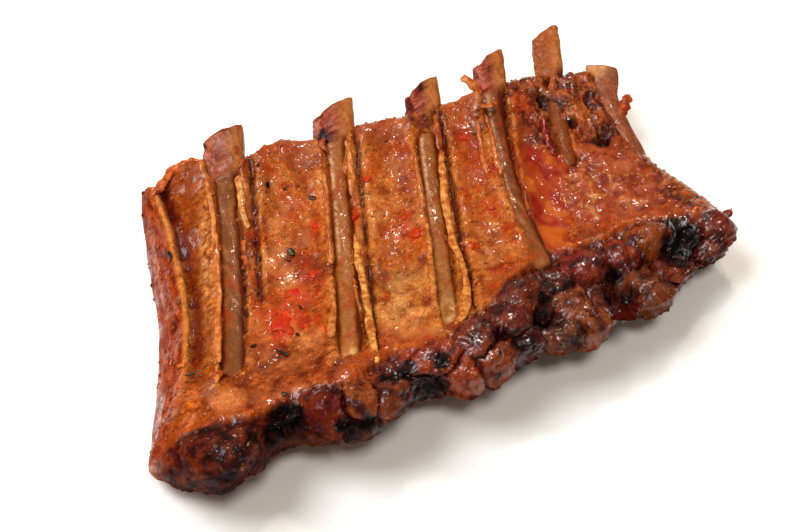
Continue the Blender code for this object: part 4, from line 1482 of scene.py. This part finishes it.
def add_grains(points, normals, masks, color, material, rng):
    """Granules of spice, fat and crumb stuck in the glaze, tinted like the place they stick to."""
    heap = Heap()
    base, faces = ball(2)
    cluster = smooth(-0.2, 0.5, fbm(points, 9, 2, 700))
    weight = masks["up"] * (1 - masks["pool"]) * (1 - 0.8 * masks["film"]) * (0.1 + cluster)
    crowded = 0.4 + masks["bone_side"] + 0.3 * masks["messy"] + 0.5 * masks["browned"]
    weight = weight * (crowded + masks["crud"])
    weight = np.clip(weight * (1 - 0.8 * masks["chine"]) + 0.25 * masks["cut"], 0, None)
    tones = ((196, 122, 60), (166, 82, 40), (140, 50, 24), (212, 152, 88), (84, 36, 18), (40, 20, 12))
    for k in picked_places(weight, GRAINS, rng):
        size = 0.28 + 0.6 * rng.random() ** 2
        axes = frame_of(normals[k], rng)
        shape = base * np.array([1, 0.55 + 0.45 * rng.random(), 0.6]) * size
        shape *= (1 + 0.5 * perlin(base * 1.3 + 0.37 * k, 710))[:, None]
        tone = srgb(*tones[int(rng.random() * 5.6)])
        tone = (0.85 * color[k] + 0.15 * tone) * (0.75 + 0.6 * rng.random())
        body = points[k] + normals[k] * 0.12 * size + shape @ axes
        heap.add(body, faces, np.tile(tone, (len(body), 1)), 0.5 + 0.4 * rng.random())
    heap.piece("spice_grains", material, 0.6)


def add_drops(points, normals, masks, color, material, rng):
    """Beads of glaze that catch the light."""
    heap = Heap()
    base, faces = ball(2)
    cluster = smooth(0, 0.5, fbm(points, 12, 2, 730))
    bold = smooth(-80, -20, points[:, 0])
    knob = smooth(-80, -100, points[:, 0]) * smooth(-56, -66, points[:, 1])
    weight = masks["up"] * (1 - masks["pool"]) * (0.1 + cluster) * (1 - 0.85 * knob)
    weight = weight + 1.2 * bold * masks["chine"]
    weight = weight + 0.35 * masks["cut"] + 4 * masks["crud"]
    for k in picked_places(weight, DROPS, rng):
        size = 0.35 + 0.8 * rng.random() ** 2.5
        axes = frame_of(normals[k], rng)
        shape = base * np.array([1, 0.5 + 0.5 * rng.random(), 0.42]) * size
        shape *= (1 + 0.35 * perlin(base * 0.9 + 0.51 * k, 740))[:, None]
        tone = color[k] * (0.8 + 0.4 * rng.random())
        body = points[k] + shape @ axes
        heap.add(body, faces, np.tile(tone, (len(body), 1)), 1)
    heap.piece("glaze_drops", material, 0.05)


# ---------------------------------------------------------------- the whole
def build():
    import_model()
    cad_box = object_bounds()
    rng = np.random.default_rng(SEED)
    meat_look = food_material("meat_glazed", dry=0.60, wet=0.32, grain=1.7, bump=0.55,
                              scatter=0.09, coat=1)
    bone_look = food_material("bone_roasted", dry=0.55, wet=0.32, grain=1, bump=0.22,
                              scatter=0.08, coat=0.4)
    bits_look = food_material("bits_glazed", dry=0.55, wet=0.12, grain=0.7, bump=0.12,
                              scatter=0.10, coat=0.7)

    points, faces = slab_mesh()
    points, masks, pit, crack, normals, which = displace_slab(points, faces)
    color, gloss, grainy = paint_meat(points, masks, pit, crack, normals, which)
    slab = make_piece("meat_slab", points, faces, meat_look, color, gloss, grainy)
    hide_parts("meat")
    for i in range(len(RIBS)):
        bone_points, bone_faces, sawn = bone_mesh(i)
        look = paint_bone(i, bone_points, sawn)
        bone = make_piece("bone_%d" % (i + 1), bone_points, bone_faces, bone_look, *look)
        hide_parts("rib_%d" % (i + 1))
    skin = Surface(points, normals, masks)
    add_shreds(skin, bits_look)
    add_herbs(skin, bits_look, rng)
    add_tomato(skin, bits_look, rng)
    add_grains(points, normals, masks, color, bits_look, rng)
    add_drops(points, normals, masks, color, bits_look, rng)
    return cad_box


# ---------------------------------------------------------------- camera, lights, floor
CAMERA_TARGET = (-36.5, -20, 20)
CAMERA_AZIMUTH = -25
CAMERA_ELEVATION = 49
CAMERA_DISTANCE = 440
CAMERA_LENS = 55
# Lamps: name, azimuth, elevation, distance and size in metres, power, colour.
LAMPS = [
    ("window", -115, 60, 1.6, 0.80, 22, (0.95, 0.98, 1)),
    ("lamp", 146, 60, 1.5, 0.12, 4, (1, 0.90, 0.74)),
    ("second_lamp", 159, 46, 1.5, 0.12, 4, (1, 0.90, 0.74)),
    ("front", -10, 66, 2, 0.42, 15, (1, 0.95, 0.87)),
]


def direction(azimuth, elevation):
    """From the object towards a place around it; azimuth 0 is the near side."""
    a = math.radians(azimuth)
    e = math.radians(elevation)
    return Vector((math.sin(a) * math.cos(e), -math.cos(a) * math.cos(e), math.sin(e)))


def add_camera():
    back = direction(CAMERA_AZIMUTH, CAMERA_ELEVATION)
    right = direction(CAMERA_AZIMUTH + 90, 0)
    up = back.cross(right)
    data = bpy.data.cameras.new("camera")
    data.lens = CAMERA_LENS
    data.sensor_width = 36
    data.clip_start = 0.01
    camera = linked("camera", data)
    spot = Vector(((np.array(CAMERA_TARGET) + SHIFT) * MM).tolist()) + back * CAMERA_DISTANCE * MM
    turn = Matrix((right, up, back)).transposed().to_4x4()
    camera.matrix_world = Matrix.Translation(spot) @ turn
    bpy.context.scene.camera = camera


def add_light(name, azimuth, elevation, distance, size, power, color):
    """Square soft light aimed at the middle of the object."""
    way = direction(azimuth, elevation)
    data = bpy.data.lights.new(name, "AREA")
    data.shape = "SQUARE"
    data.size = size
    data.energy = power
    data.color = color
    lamp = linked(name, data)
    lamp.location = way * distance
    lamp.rotation_euler = way.to_track_quat("Z", "Y").to_euler()


def add_floor():
    data = bpy.data.meshes.new("floor")
    data.from_pydata([(-4, -4, 0), (4, -4, 0), (4, 4, 0), (-4, 4, 0)], [], [(0, 1, 2, 3)])
    floor = linked("floor", data)
    material = bpy.data.materials.new("floor")
    material.use_nodes = True
    shader = material.node_tree.nodes["Principled BSDF"]
    feed(material.node_tree, shader, {
        "Base Color": (0.93, 0.92, 0.905, 1),
        "Roughness": 0.7,
        "Specular IOR Level": 0.2,
    })
    data.materials.append(material)


def add_world():
    world = bpy.data.worlds.new("studio")
    bpy.context.scene.world = world
    world.use_nodes = True
    background = world.node_tree.nodes["Background"]
    feed(world.node_tree, background, {"Color": (1, 0.84, 0.68, 1), "Strength": 0.22})


bpy.context.scene.view_settings.view_transform = "Standard"
cad_box = build()
add_camera()
add_floor()
add_world()
for lamp_row in LAMPS:
    add_light(*lamp_row)

bpy.context.view_layer.update()
